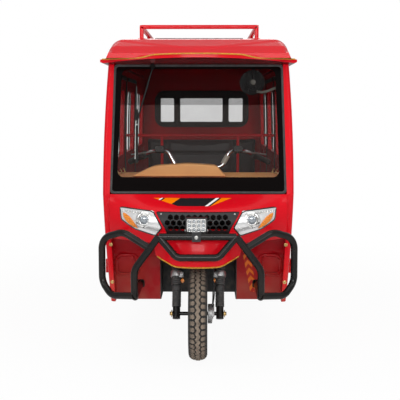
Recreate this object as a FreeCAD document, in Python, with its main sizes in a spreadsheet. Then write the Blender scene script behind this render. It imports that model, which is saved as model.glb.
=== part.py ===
import FreeCAD
import Part
import Sketcher
import math
import os

# Enclosed electric passenger tricycle.
# Frame of the model: +Z up, the front faces -Y, +X is the driver's left, the road is Z = 0.
# Lengths along the vehicle are given as distances behind the front guard and turned
# into Y by behind().

V = FreeCAD.Vector
doc = FreeCAD.newDocument("electric_tricycle")
sheet = doc.addObject("Spreadsheet::Sheet", "Sizes")

# name, value in millimetres or degrees, what it is
SIZES = [
    ("ground_to_sill", 283, "lower edge of the body"),
    ("wall_top", 1560, "where the walls meet the roof"),
    ("wall", 25, "thickness of a body wall or a door"),
    ("sheet_steel", 5, "thickness of a pressed panel"),
    ("fit_gap", 0.3, "gap between pieces that seat on each other"),
    ("side_low_x", 475, "half width of the body at the sill"),
    ("side_top_x", 487, "half width of the body at the roof"),
    ("side_bow", 8500, "radius of the bowed body side"),
    ("corner_foot", 9, "seam of the corner panel at the windshield foot, inside the sill's edge"),
    ("corner_head", 33, "seam of the corner panel at the roof, inside the wall's top edge"),
    ("corner_round", 22, "rounded front edge of the corner panel"),
    ("front_knee", 290, "windshield foot behind the front guard"),
    ("low_setback", 70, "front edge of the body at the sill, behind the windshield foot"),
    ("top_setback", 170, "front edge of the body at the roof, behind the windshield foot"),
    ("post_depth", 70, "depth of the front corner panel"),
    ("door_lap_low", 56, "corner panel to the front door at the sill"),
    ("door_lap_top", 60, "corner panel to the front door at the top"),
    ("front_axle", 250, "front axle, behind the guard"),
    ("wheelbase", 2000, "front axle to rear axle"),
    ("rear_overhang", 550, "rear axle to the outside of the rear wall"),
    ("bumper_reach", 50, "rear wall to the rear bumper's outside"),
    ("wheel_radius", 245, "outside of the tyre"),
    ("tyre_width", 100, "width of a tyre"),
    ("rim_radius", 143, "bead seat of the rim"),
    ("rim_skin", 8, "thickness of the rim's well and disc"),
    ("flange_inset", 12, "rim flange inside the tyre's side"),
    ("flange_height", 14, "rim flange above the bead seat"),
    ("flange_skin", 4, "thickness of the rim flange"),
    ("bulge_height", 40, "widest part of the tyre above the bead seat"),
    ("bulge_round", 24, "rounding of the tyre's side"),
    ("tread_round", 34, "rounding from the tyre's side to its tread"),
    ("hub_radius", 34, "wheel hub"),
    ("hub_long", 45, "reach of the hub on the side of the brake"),
    ("hub_short", 20, "reach of a rear hub on its outside"),
    ("spindle_radius", 17, "rear wheel spindle"),
    ("track_inset", 60, "middle of a rear tyre inside the sill's edge"),
    ("arch_gap", 35, "tyre to the edge of its arch"),
    ("rake_angle", 24, "steering axis from the vertical"),
    ("fork_offset", 30, "axle ahead of the steering axis"),
    ("fork_half_width", 115, "middle of a fork leg from the centre line"),
    ("fork_leg_radius", 20, "fork slider"),
    ("fork_boot_radius", 26, "boot of the fork spring"),
    ("crown_height", 292, "middle of the fork crown above the axle, along the fork"),
    ("crown_thick", 30, "fork crown"),
    ("stem_radius", 16, "steering stem"),
    ("head_radius", 28, "head tube of the chassis"),
    ("head_start", 345, "foot of the head tube along the steering axis"),
    ("head_length", 160, "length of the head tube"),
    ("steer_bore_gap", 0.3, "play of the stem in the head tube"),
    ("bar_rise", 109, "clamp of the handlebar above the windshield foot"),
    ("bar_radius", 11, "handlebar tube"),
    ("grip_radius", 16, "handlebar grip"),
    ("grip_length", 118, "handlebar grip"),
    ("axle_radius", 10, "front axle bolt"),
    ("axle_half", 150, "half length of the front axle bolt"),
    ("front_door_end", 1235, "rear edge of the front door, behind the guard"),
    ("centre_post", 57, "front door to rear door"),
    ("door_to_arch", 40, "rear door to the wheel arch"),
    ("sill_rise", 47, "lower edge of the doors above the sill"),
    ("header", 55, "upper edge of the doors below the walls' top"),
    ("door_gap", 5.5, "gap round a door"),
    ("door_corner", 40, "rounded corner of a door"),
    ("belt_rise", 164, "lower edge of the side windows above the windshield foot"),
    ("window_drop", 70, "upper edge of the side windows below the doors' top"),
    ("window_inset", 75, "door edge to window"),
    ("window_corner", 45, "rounded corner of a side window"),
    ("glass", 5, "thickness of a window"),
    ("hinge_proud", 35, "door hinge pins outside the sill's edge"),
    ("hinge_radius", 5, "barrel of a door hinge"),
    ("hinge_length", 70, "length of a door hinge"),
    ("hinge_leaf", 36, "hinge leaf from the pin"),
    ("hinge_rise", 130, "middle of the lower hinge above the door's foot"),
    ("hinge_pitch", 265, "lower hinge to upper hinge"),
    ("handle_length", 96, "door handle"),
    ("handle_height", 24, "door handle"),
    ("handle_proud", 13, "door handle outside the door"),
    ("handle_inset", 34, "door handle from the door's rear edge"),
    ("rear_post", 120, "rear door to quarter window"),
    ("quarter_inset", 160, "quarter window to the rear wall"),
    ("rail_half", 250, "middle of a chassis rail from the centre line"),
    ("rail_width", 40, "width of a chassis rail"),
    ("rail_height", 50, "height of a chassis rail"),
    ("well_half", 204, "half width of the front wheel well"),
    ("well_front", 190, "front edge of the wheel well's roof, behind the guard"),
    ("well_gap", 105, "tyre to the rear wall of the wheel well"),
    ("bump_travel", 102, "tyre to the roof of the wheel well"),
    ("nose_height", 284, "roof of the wheel well to the windshield foot"),
    ("cowl_reach", 55, "rear edge of the front cowl behind the windshield foot"),
    ("cowl_height", 236, "height of the front cowl"),
    ("shield_slope", 75, "how far the leg shields run back to the sill"),
    ("shield_bend", 90, "bend of the leg shields below the cowl"),
    ("lip_overlap", 8, "nose lip outside the wheel well"),
    ("lip_end_drop", 19, "ends of the nose lip below the well's roof"),
    ("lip_drop", 71, "middle of the nose lip below the well's roof"),
    ("lamp_drop", 116, "middle of the headlamps below the windshield foot"),
    ("guard_radius", 18, "tube of the front guard"),
    ("guard_leg_x", 319, "legs of the front guard from the centre line"),
    ("guard_drop", 70, "top bar of the guard below the headlamps' middle"),
    ("foot_rise", 20, "underside of the guard's legs above the chassis rails"),
    ("guard_plate_gap", 20, "leg shields to the brackets that carry the guard"),
    ("seal_width", 12, "rubber seal of the windshield"),
    ("seal_depth", 14, "depth of that seal"),
    ("brim_reach", 41, "roof brim outside the walls"),
    ("brim_overhang", 160, "roof brim ahead of the walls, in the middle"),
    ("brim_side_overhang", 10, "roof brim ahead of the walls, at its corners"),
    ("brim_rise", 48, "top of the brim above the walls"),
    ("brim_lift", 28, "underside of the brim at its front above the walls"),
    ("brim_drop", 23, "how far the brim curves down at its corners"),
    ("brim_lip", 14, "thickness of the brim at its side edge"),
    ("roof_overhang", 15, "roof behind the rear wall"),
    ("dome_rise", 161, "crown of the roof above the walls"),
    ("dome_reach", 9, "roof dome outside the walls"),
    ("dome_flare", 14, "how far the dome spreads at its foot"),
    ("roof_skin", 14, "thickness of the roof"),
    ("rack_half", 330, "half width of the roof rack"),
    ("rack_setback", 315, "front of the roof rack behind the walls' front"),
    ("rack_inset", 270, "rear of the roof rack ahead of the rear wall"),
    ("rack_rise", 79, "top of the roof rack above the roof"),
    ("rack_tube", 22, "square tube of the rack"),
    ("rear_window_side", 115, "opening in the rear wall inside the walls' top edge"),
    ("rear_window_tall", 270, "height of that opening"),
    ("rear_window_header", 106, "upper edge of that opening below the walls' top"),
    ("rear_window_round", 70, "rounded corner of that opening"),
    ("rear_bar", 43, "bars of the rear window"),
    ("rear_bar_x", 200, "middle of those bars from the centre line"),
    ("emboss_width", 12, "raised rib round the rear window"),
    ("emboss_height", 4, "how far that rib stands out"),
    ("rail_setback", 15, "rail behind the driver, behind the front doors"),
    ("rail_rise", 554, "height of that rail above the seat box"),
    ("partition_radius", 9, "tube of that rail"),
    ("partition_post", 242, "posts of that rail from the centre line"),
    ("seat_box", 262, "driver's seat box"),
    ("seat_box_half", 220, "half width of the driver's seat box"),
    ("seat_box_depth", 332, "depth of the driver's seat box"),
    ("seat_box_back", 18, "driver's seat box to the rail"),
    ("seat_lap", 20, "driver's cushion over the edge of its box"),
    ("seat_thick", 85, "driver's cushion"),
    ("rest_tall", 320, "driver's backrest"),
    ("rest_half", 226, "half width of the driver's backrest"),
    ("rest_thick", 60, "driver's backrest"),
    ("battery_inset", 25, "battery block inside the seat box"),
    ("battery_tall", 220, "battery block"),
    ("bench_over", 30, "passenger bench box above the wheel housings"),
    ("bench_depth", 570, "front of the bench box ahead of the rear wall"),
    ("bench_lap", 50, "bench cushion over the edge of its box"),
    ("bench_side", 10, "bench cushion inside the sill's edge"),
    ("bench_thick", 90, "bench cushion"),
    ("bench_rest", 105, "front of the bench's backrest ahead of the rear wall"),
    ("bench_rest_drop", 86, "top of that backrest below the rear window"),
    ("cushion_round", 40, "rounded corner of a cushion"),
    ("dash_depth", 285, "rear edge of the dash behind the windshield foot"),
    ("dash_rise", 96, "rear edge of the dash above the windshield foot"),
    ("tail_lamp_inset", 70, "middle of a tail lamp inside the sill's edge"),
    ("tail_lamp_low", 640, "lower edge of the tail lamps"),
    ("tail_lamp_tall", 200, "tail lamp"),
    ("tail_lamp_half", 35, "half width of a tail lamp"),
    ("tail_lamp_thick", 24, "tail lamp"),
    ("bumper_radius", 20, "tube of the rear bumper"),
    ("bumper_inset", 35, "end of the rear bumper inside the sill's edge"),
    ("bumper_rise", 87, "middle of the rear bumper above the sill"),
    ("fan_radius", 68, "cab fan"),
    ("fan_inset", 191, "middle of the fan inside the walls' top edge"),
    ("fan_drop", 93, "middle of the fan below the walls' top"),
    ("fan_setback", 130, "front of the fan behind the body's top front edge"),
]


class Size:
    """A length that knows its number and the sheet expression that it comes from."""

    def __init__(self, number, text):
        self.number = number
        self.text = text

    def __float__(self):
        return float(self.number)

    def __add__(self, other):
        return Size(self.number + float(other), f"({self.text} + {text_of(other)})")

    def __radd__(self, other):
        return self + other

    def __sub__(self, other):
        return Size(self.number - float(other), f"({self.text} - {text_of(other)})")

    def __rsub__(self, other):
        return -self + other

    def __mul__(self, other):
        return Size(self.number * float(other), f"({self.text} * {text_of(other)})")

    def __rmul__(self, other):
        return self * other

    def __truediv__(self, other):
        return Size(self.number / float(other), f"({self.text} / {text_of(other)})")

    def __neg__(self):
        return Size(-self.number, f"(0 - {self.text})")

    def root(self):
        return Size(math.sqrt(self.number), f"sqrt({self.text})")


def text_of(value):
    """The sheet expression of a length, or the plain number."""
    if isinstance(value, Size):
        return value.text
    return f"({float(value)})"


class Sizes:
    """The driving dimensions by name."""


d = Sizes()
for row, (alias, value, meaning) in enumerate(SIZES, start=1):
    sheet.set(f"A{row}", alias)
    sheet.set(f"B{row}", str(value))
    sheet.set(f"C{row}", meaning)
    sheet.setAlias(f"B{row}", alias)
    setattr(d, alias, Size(value, f"Sizes.{alias}"))
doc.recompute()

ZERO = Size(0, "0")

# Places and sizes that follow from the driving ones. Those called front, back, start, end, rear
# or deep are distances behind the front guard.
d.rear_axle = d.front_axle + d.wheelbase
d.arch_radius = d.wheel_radius + d.arch_gap
d.rear_face = d.rear_axle + d.rear_overhang
d.overall_length = d.rear_face + d.bumper_reach
d.front_low = d.front_knee + d.low_setback
d.front_top = d.front_knee + d.top_setback
d.front_door_start = d.front_low + d.post_depth + d.door_lap_low
d.front_door_top_start = d.front_top + d.post_depth + d.door_lap_top
d.rear_door_start = d.front_door_end + d.centre_post
d.rear_door_end = d.rear_axle - d.arch_radius - d.door_to_arch
d.quarter_start = d.rear_door_end + d.rear_post
d.quarter_end = d.rear_face - d.quarter_inset
d.chassis_rear = d.rear_face - d.wall - d.fit_gap
d.partition = d.front_door_end + d.rail_setback
d.well_end = d.front_axle + d.wheel_radius + d.well_gap
d.well_top = d.wheel_radius * 2 + d.bump_travel
d.knee_height = d.well_top + d.nose_height
d.cowl_back = d.front_knee + d.cowl_reach
d.shield_deep = d.cowl_back + d.shield_slope
d.shield_top = d.knee_height - d.cowl_height
d.lamp_height = d.knee_height - d.lamp_drop
d.lip_half = d.well_half + d.lip_overlap
d.lip_side = d.well_top - d.lip_end_drop
d.lip_mid = d.well_top - d.lip_drop
d.guard_top = d.lamp_height - d.guard_drop
d.guard_foot = d.ground_to_sill + d.rail_height + d.foot_rise
d.guard_plate = d.shield_deep + d.guard_plate_gap
d.floor_top = d.ground_to_sill + d.rail_height + d.sheet_steel
d.door_low = d.ground_to_sill + d.sill_rise
d.door_high = d.wall_top - d.header
d.window_low = d.knee_height + d.belt_rise
d.window_high = d.door_high - d.window_drop
d.hinge_low = d.door_low + d.hinge_rise
d.hinge_high = d.hinge_low + d.hinge_pitch
d.hinge_x = d.side_low_x + d.hinge_proud
d.corner_low_x = d.side_low_x - d.wall
d.corner_knee_x = d.side_low_x - d.corner_foot
d.corner_top_x = d.side_top_x - d.corner_head
d.brim_half = d.side_top_x + d.brim_reach
d.brim_front = d.front_top - d.brim_overhang
d.brim_corner = d.front_top - d.brim_side_overhang
d.brim_top = d.wall_top + d.brim_rise
d.brim_under = d.wall_top + d.brim_lift
d.brim_rear = d.rear_face + d.roof_overhang
d.dome_top = d.wall_top + d.dome_rise
d.dome_half = d.side_top_x + d.dome_reach
d.rack_front = d.front_top + d.rack_setback
d.rack_rear = d.rear_face - d.rack_inset
d.rack_top = d.dome_top + d.rack_rise
d.rear_window_half = d.side_top_x - d.rear_window_side
d.rear_window_high = d.wall_top - d.rear_window_header
d.rear_window_low = d.rear_window_high - d.rear_window_tall
d.dash_rear = d.front_knee + d.dash_depth
d.dash_height = d.knee_height + d.dash_rise
d.bar_height = d.knee_height + d.bar_rise
d.seat_height = d.floor_top + d.seat_box
d.partition_height = d.seat_height + d.rail_rise
d.bench_height = d.wheel_radius + d.arch_radius + d.sheet_steel + d.bench_over
d.rear_track = (d.side_low_x - d.track_inset) * 2
d.tail_lamp_x = d.side_low_x - d.tail_lamp_inset
d.rear_bumper_half = d.side_low_x - d.bumper_inset
d.rear_bumper_height = d.ground_to_sill + d.bumper_rise


def behind(distance):
    """Y of a place that lies this far behind the front guard."""
    return distance - d.overall_length / 2


nodes = []


def keep(piece, name):
    """The piece is a sub-part of the vehicle, written to a file of this name."""
    piece.Label = name
    nodes.append(piece)
    return piece


def bind(thing, path, value):
    """Sets a property from a length and ties it to the sheet."""
    thing.setExpression(path, text_of(value))


# Helpers for sketches. A corner is (u, v) or (u, v, radius of its rounding).

PLANES = {"XY": ("XY_Plane", 1), "XZ": ("XZ_Plane", -1), "YZ": ("YZ_Plane", 1)}


def fix_point(sketch, geometry, end, u, v):
    for kind, value in (("DistanceX", u), ("DistanceY", v)):
        number = sketch.addConstraint(
            Sketcher.Constraint(kind, -1, 1, geometry, end, float(value)))
        if isinstance(value, Size):
            sketch.setExpression(f"Constraints[{number}]", value.text)


def fix_radius(sketch, geometry, radius):
    number = sketch.addConstraint(Sketcher.Constraint("Radius", geometry, float(radius)))
    if isinstance(radius, Size):
        sketch.setExpression(f"Constraints[{number}]", radius.text)


def arc_between(centre, radius, start, end, clockwise):
    """An arc of a sketch, which always runs anticlockwise, and its two end numbers."""
    first, last = (end, start) if clockwise else (start, end)
    angle_a = math.atan2(first.y - centre.y, first.x - centre.x)
    angle_b = math.atan2(last.y - centre.y, last.x - centre.x)
    if angle_b <= angle_a:
        angle_b += 2 * math.pi
    arc = Part.ArcOfCircle(Part.Circle(centre, V(0, 0, 1), radius), angle_a, angle_b)
    return arc, (2, 1) if clockwise else (1, 2)


def add_loop(sketch, corners, bows=None):
    """A closed outline. bows gives the radius of an edge that bulges outward to the right
    of its direction, by the number of the edge."""
    bows = bows or {}
    count = len(corners)
    spots = [V(float(c[0]), float(c[1]), 0) for c in corners]
    rounds = [c[2] if len(c) > 2 else 0 for c in corners]
    leave, reach, centres = [], [], []
    for i, spot in enumerate(spots):
        back = spots[i - 1] - spot
        ahead = spots[(i + 1) % count] - spot
        back.normalize()
        ahead.normalize()
        radius = float(rounds[i])
        half = back.getAngle(ahead) / 2
        cut = radius / math.tan(half) if radius else 0
        reach.append(spot + back * cut)
        leave.append(spot + ahead * cut)
        middle = back + ahead
        if radius:
            middle.normalize()
            centres.append(spot + middle * (radius / math.sin(half)))
        else:
            centres.append(None)
    edges = []
    for i in range(count):
        start, end = leave[i], reach[(i + 1) % count]
        if i in bows:
            radius = float(bows[i])
            chord = end - start
            side = V(-chord.y, chord.x, 0)
            side.normalize()
            drop = math.sqrt(radius * radius - chord.Length ** 2 / 4)
            centre = (start + end) * 0.5 + side * drop
            arc, ends = arc_between(centre, radius, start, end, False)
            number = sketch.addGeometry(arc)
            fix_radius(sketch, number, bows[i])
        else:
            number = sketch.addGeometry(Part.LineSegment(start, end))
            ends = (1, 2)
        edges.append((number, ends))
    for i, corner in enumerate(corners):
        before, after = edges[i - 1], edges[i]
        if centres[i] is None:
            sketch.addConstraint(Sketcher.Constraint(
                "Coincident", before[0], before[1][1], after[0], after[1][0]))
            fix_point(sketch, after[0], after[1][0], corner[0], corner[1])
            continue
        point = sketch.addGeometry(Part.Point(spots[i]), True)
        fix_point(sketch, point, 1, corner[0], corner[1])
        sketch.addConstraint(Sketcher.Constraint("PointOnObject", point, 1, before[0]))
        sketch.addConstraint(Sketcher.Constraint("PointOnObject", point, 1, after[0]))
        turn = (reach[i] - spots[i - 1]).cross(spots[(i + 1) % count] - leave[i]).z
        arc, ends = arc_between(centres[i], float(rounds[i]), reach[i], leave[i], turn < 0)
        number = sketch.addGeometry(arc)
        sketch.addConstraint(Sketcher.Constraint(
            "Tangent", before[0], before[1][1], number, ends[0]))
        sketch.addConstraint(Sketcher.Constraint(
            "Tangent", number, ends[1], after[0], after[1][0]))
        fix_radius(sketch, number, rounds[i])


def new_body(name):
    return doc.addObject("PartDesign::Body", name)


def draw(body, plane, loops, place=ZERO):
    """A sketch on one of the body's own planes, moved along that plane's axis to place.
    A loop is a list of corners, or a pair of the corners and the bows."""
    role, sign = PLANES[plane]
    sketch = body.newObject("Sketcher::SketchObject", f"{body.Name}_outline")
    base = [f for f in body.Origin.OriginFeatures if f.Role == role][0]
    sketch.AttachmentSupport = [(base, "")]
    sketch.MapMode = "FlatFace"
    bind(sketch, ".AttachmentOffset.Base.z", place * sign)
    for loop in loops:
        corners, bows = loop if isinstance(loop, tuple) else (loop, None)
        add_loop(sketch, corners, bows)
    return sketch


def pad(body, plane, loops, start, end):
    """Adds the outline's prism between two places along the plane's axis."""
    feature = body.newObject("PartDesign::Pad", f"{body.Name}_pad")
    feature.Profile = draw(body, plane, loops, start)
    bind(feature, "Length", end - start)
    feature.Reversed = PLANES[plane][1] < 0
    body.Tip = feature
    return feature


def pocket(body, plane, loops, start, end):
    """Cuts the outline's prism between two places along the plane's axis."""
    feature = body.newObject("PartDesign::Pocket", f"{body.Name}_pocket")
    feature.Profile = draw(body, plane, loops, start)
    bind(feature, "Length", end - start)
    feature.Reversed = PLANES[plane][1] > 0
    body.Tip = feature
    return feature


def rectangle(u0, u1, v0, v1, radius=0):
    if radius:
        return [(u0, v0, radius), (u1, v0, radius), (u1, v1, radius), (u0, v1, radius)]
    return [(u0, v0), (u1, v0), (u1, v1), (u0, v1)]


FAR = 4000


def trim(body, plane, outline, start, end):
    """Cuts away what lies outside the outline."""
    frame = rectangle(-FAR, FAR, -FAR, FAR)
    return pocket(body, plane, [frame, outline], start, end)


def loft(body, plane, sections, places, cut=False, ruled=False):
    """Joins the sections, one loop each, set at their places along the plane's axis."""
    kind = "PartDesign::SubtractiveLoft" if cut else "PartDesign::AdditiveLoft"
    drawn = [draw(body, plane, [loop], place) for loop, place in zip(sections, places)]
    feature = body.newObject(kind, f"{body.Name}_loft")
    feature.Profile = drawn[0]
    feature.Sections = drawn[1:]
    feature.Ruled = ruled
    body.Tip = feature
    return feature


def turn(body, loops, axis="X_Axis", plane="XZ", cut=False):
    """Turns the outline about one of the body's own axes."""
    kind = "PartDesign::Groove" if cut else "PartDesign::Revolution"
    feature = body.newObject(kind, f"{body.Name}_turn")
    feature.Profile = draw(body, plane, loops)
    line = [f for f in body.Origin.OriginFeatures if f.Role == axis][0]
    feature.ReferenceAxis = (line, [""])
    feature.Angle = 360
    body.Tip = feature
    return feature


# Helpers for primitives.

def box(x0, x1, y0, y1, z0, z1):
    piece = doc.addObject("Part::Box", "block")
    bind(piece, "Length", x1 - x0)
    bind(piece, "Width", y1 - y0)
    bind(piece, "Height", z1 - z0)
    for axis, value in zip("xyz", (x0, y0, z0)):
        bind(piece, f".Placement.Base.{axis}", value)
    return piece


def rod(radius, length, start, direction):
    """A round bar from a point along a direction."""
    piece = doc.addObject("Part::Cylinder", "rod")
    bind(piece, "Radius", radius)
    bind(piece, "Height", length)
    piece.Placement = FreeCAD.Placement(start, FreeCAD.Rotation(V(0, 0, 1), direction))
    return piece


def fuse(pieces, name="joined"):
    piece = doc.addObject("Part::MultiFuse", name)
    piece.Shapes = pieces
    return piece


def cut(base, tools, name="cut"):
    piece = base
    for tool in tools:
        whole = doc.addObject("Part::Cut", name)
        whole.Base = piece
        whole.Tool = tool
        piece = whole
    return piece


def rounded(base, edges, radius):
    """The piece with the edges of these numbers rounded."""
    piece = doc.addObject("Part::Fillet", "rounded")
    piece.Base = base
    piece.Edges = [(number, float(radius), float(radius)) for number in edges]
    return piece


def group(pieces, name="group"):
    piece = doc.addObject("Part::Compound", name)
    piece.Links = pieces
    return piece


def bar_path(points, bends):
    """Straight runs through the points, joined by an arc of its own radius at each bend."""
    edges = []
    here = points[0]
    for before, point, after, radius in zip(points, points[1:], points[2:], bends):
        back = (before - point).normalize()
        ahead = (after - point).normalize()
        half = back.getAngle(ahead) / 2
        cut_back = radius / math.tan(half)
        first = point + back * cut_back
        last = point + ahead * cut_back
        middle = (back + ahead).normalize()
        centre = point + middle * (radius / math.sin(half))
        edges.append(Part.LineSegment(here, first).toShape())
        edges.append(Part.Arc(first, centre - middle * radius, last).toShape())
        here = last
    edges.append(Part.LineSegment(here, points[-1]).toShape())
    return Part.Wire(edges)


def tube(points, bends, radius):
    """A bent round bar."""
    path = bar_path(points, bends)
    direction = points[1] - points[0]
    ring = Part.Wire([Part.Circle(points[0], direction, radius).toShape()])
    return path.makePipeShell([ring], True, True)


def joined(shapes):
    whole = shapes[0]
    for shape in shapes[1:]:
        whole = whole.fuse(shape)
    return whole.removeSplitter()


def made(shape, name):
    """A piece whose form is worked out here from the sheet."""
    piece = doc.addObject("Part::Feature", name)
    piece.Shape = shape
    return piece


def side_x(height, inset=0.0):
    """Half width of the bowed body side at a height."""
    low, top = float(d.ground_to_sill), float(d.wall_top)
    x0, x1, radius = float(d.side_low_x), float(d.side_top_x), float(d.side_bow)
    chord = V(x1 - x0, 0, top - low)
    normal = V(-chord.z, 0, chord.x).normalize()
    middle = V((x0 + x1) / 2, 0, (low + top) / 2)
    centre = middle + normal * math.sqrt(radius ** 2 - chord.Length ** 2 / 4)
    return centre.x + math.sqrt((radius - inset) ** 2 - (height - centre.z) ** 2)


def spot(x, distance, z):
    """A point by its place behind the front guard."""
    return V(float(x), float(behind(distance)), float(z))


# Steering axis, used by the fork, the head tube and the handlebar.

rake = math.radians(float(d.rake_angle))
axis_up = V(0, math.sin(rake), math.cos(rake))
axis_back = V(0, math.cos(rake), -math.sin(rake))
front_hub = spot(0, d.front_axle, d.wheel_radius)
axis_foot = front_hub + axis_back * float(d.fork_offset)


def on_axis(distance):
    return axis_foot + axis_up * float(distance)


# Body sides: one bowed section, cut by the outlines of the door openings and windows.

def section(side, inset_out, inset_in):
    """The bowed wall between two depths below its outside."""
    low, top = d.ground_to_sill, d.wall_top
    corners = [
        ((d.side_low_x - inset_out) * side, low),
        ((d.side_top_x - inset_out) * side, top),
        ((d.side_top_x - inset_in) * side, top),
        ((d.side_low_x - inset_in) * side, low),
    ]
    return corners


def side_pad(body, side, inset_out, inset_in, start, end):
    corners = section(side, inset_out, inset_in)
    sketch = body.newObject("Sketcher::SketchObject", f"{body.Name}_section")
    base = [f for f in body.Origin.OriginFeatures if f.Role == "XZ_Plane"][0]
    sketch.AttachmentSupport = [(base, "")]
    sketch.MapMode = "FlatFace"
    bind(sketch, ".AttachmentOffset.Base.z", -start)
    spots = [V(float(u), float(v), 0) for u, v in corners]
    wanted = [(0, 1, d.side_bow - inset_out), (2, 3, d.side_bow - inset_in)]
    made_edges = {}
    for first, last, radius in wanted:
        number = float(radius)
        chord = spots[last] - spots[first]
        inward = V(-side, 0, 0)
        normal = V(-chord.y, chord.x, 0).normalize()
        if normal.dot(inward) < 0:
            normal = normal * -1
        centre = (spots[first] + spots[last]) * 0.5
        centre = centre + normal * math.sqrt(number ** 2 - chord.Length ** 2 / 4)
        clockwise = (spots[first] - centre).cross(spots[last] - centre).z < 0
        arc, ends = arc_between(centre, number, spots[first], spots[last], clockwise)
        index = sketch.addGeometry(arc)
        fix_radius(sketch, index, radius)
        made_edges[first] = (index, ends)
    for first, last in ((1, 2), (3, 0)):
        index = sketch.addGeometry(Part.LineSegment(spots[first], spots[last]))
        made_edges[first] = (index, (1, 2))
    for i in range(4):
        before, after = made_edges[(i - 1) % 4], made_edges[i]
        sketch.addConstraint(Sketcher.Constraint(
            "Coincident", before[0], before[1][1], after[0], after[1][0]))
        fix_point(sketch, after[0], after[1][0], corners[i][0], corners[i][1])
    feature = body.newObject("PartDesign::Pad", f"{body.Name}_pad")
    feature.Profile = sketch
    bind(feature, "Length", end - start)
    feature.Reversed = True
    body.Tip = feature


def front_door_outline(grow):
    """The front door's outline, or its opening when it is larger by grow."""
    r = d.door_corner + grow
    lean_top = behind(d.front_door_top_start) - grow
    return [
        (behind(d.front_door_start) - grow, d.door_low - grow, r),
        (behind(d.front_door_end) + grow, d.door_low - grow, r),
        (behind(d.front_door_end) + grow, d.door_high + grow, r),
        (lean_top, d.door_high + grow, r),
        (behind(d.front_door_start) - grow, d.knee_height),
    ]


def rear_door_outline(grow):
    r = d.door_corner + grow
    return rectangle(
        behind(d.rear_door_start) - grow, behind(d.rear_door_end) + grow,
        d.door_low - grow, d.door_high + grow, r)


def window_outline(door, shrink):
    """The window of a door, smaller by shrink all round."""
    r = d.window_corner - shrink
    low, high = d.window_low + shrink, d.window_high - shrink
    if door == "rear":
        return rectangle(
            behind(d.rear_door_start) + d.window_inset + shrink,
            behind(d.rear_door_end) - d.window_inset - shrink, low, high, r)
    foot = behind(d.front_door_start) + d.window_inset + shrink
    head = behind(d.front_door_top_start) + d.window_inset / 2 + shrink
    rear = behind(d.front_door_end) - d.window_inset - shrink
    return [(foot, low, r), (rear, low, r), (rear, high, r), (head, high, r)]


def quarter_outline(shrink):
    return rectangle(
        behind(d.quarter_start) + shrink, behind(d.quarter_end) - shrink,
        d.window_low + shrink, d.window_high - shrink, d.window_corner - shrink)


# The front edge of the body leans: forward up to the windshield's foot, then back.

def front_edge(extra):
    return [
        (behind(d.front_low) + extra, d.ground_to_sill),
        (behind(d.front_knee) + extra, d.knee_height),
        (behind(d.front_top) + extra, d.wall_top),
    ]


def front_outer_edges(panel, side):
    """Numbers of the edges where the front of a corner panel meets the body's side."""
    found = []
    for number, edge in enumerate(panel.Shape.Edges, start=1):
        middle = edge.valueAt((edge.FirstParameter + edge.LastParameter) / 2)
        rows = front_edge(ZERO)
        lower = float(d.ground_to_sill) + 1 < middle.z < float(d.knee_height) - 1
        upper = float(d.knee_height) + 1 < middle.z < float(d.wall_top) - 1
        if not (lower or upper):
            continue
        (y0, z0), (y1, z1) = rows[0:2] if lower else rows[1:3]
        share = (middle.z - float(z0)) / float(z1 - z0)
        on_front = abs(middle.y - float(y0) - float(y1 - y0) * share) < 0.5
        on_side = abs(middle.x * side - side_x(middle.z)) < 0.5
        if on_front and on_side:
            found.append(number)
    return found


wall_outline = (
    front_edge(d.post_depth + d.fit_gap)
    + [(behind(d.rear_face), d.wall_top), (behind(d.rear_face), d.ground_to_sill)])

SIDES = (("left", 1), ("right", -1))


def hinge_leaves(side, start, way):
    """Half of each hinge of a door: way is 1 on the door and -1 on the pillar. The barrels
    stand one above the other on the pin, outside the bowed wall."""
    leaves = []
    pin_y = behind(start) - d.door_gap / 2
    half = d.hinge_length / 2
    for height in (d.hinge_low, d.hinge_high):
        foot = height + d.fit_gap / 2 if way > 0 else height - half
        tall = half - d.fit_gap / 2
        barrel = rod(d.hinge_radius, tall, V(float(d.hinge_x) * side, float(pin_y), float(foot)),
                     V(0, 0, 1))
        wall_x = side_x(float(height)) - float(d.wall) / 3
        ends = sorted((wall_x * side, (float(d.hinge_x) + 1) * side))
        rows = sorted((pin_y, pin_y + d.hinge_leaf * way), key=float)
        leaf = box(Size(ends[0], str(ends[0])), Size(ends[1], str(ends[1])), rows[0], rows[1],
                   foot, foot + tall)
        leaves += [barrel, leaf]
    return leaves


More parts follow.
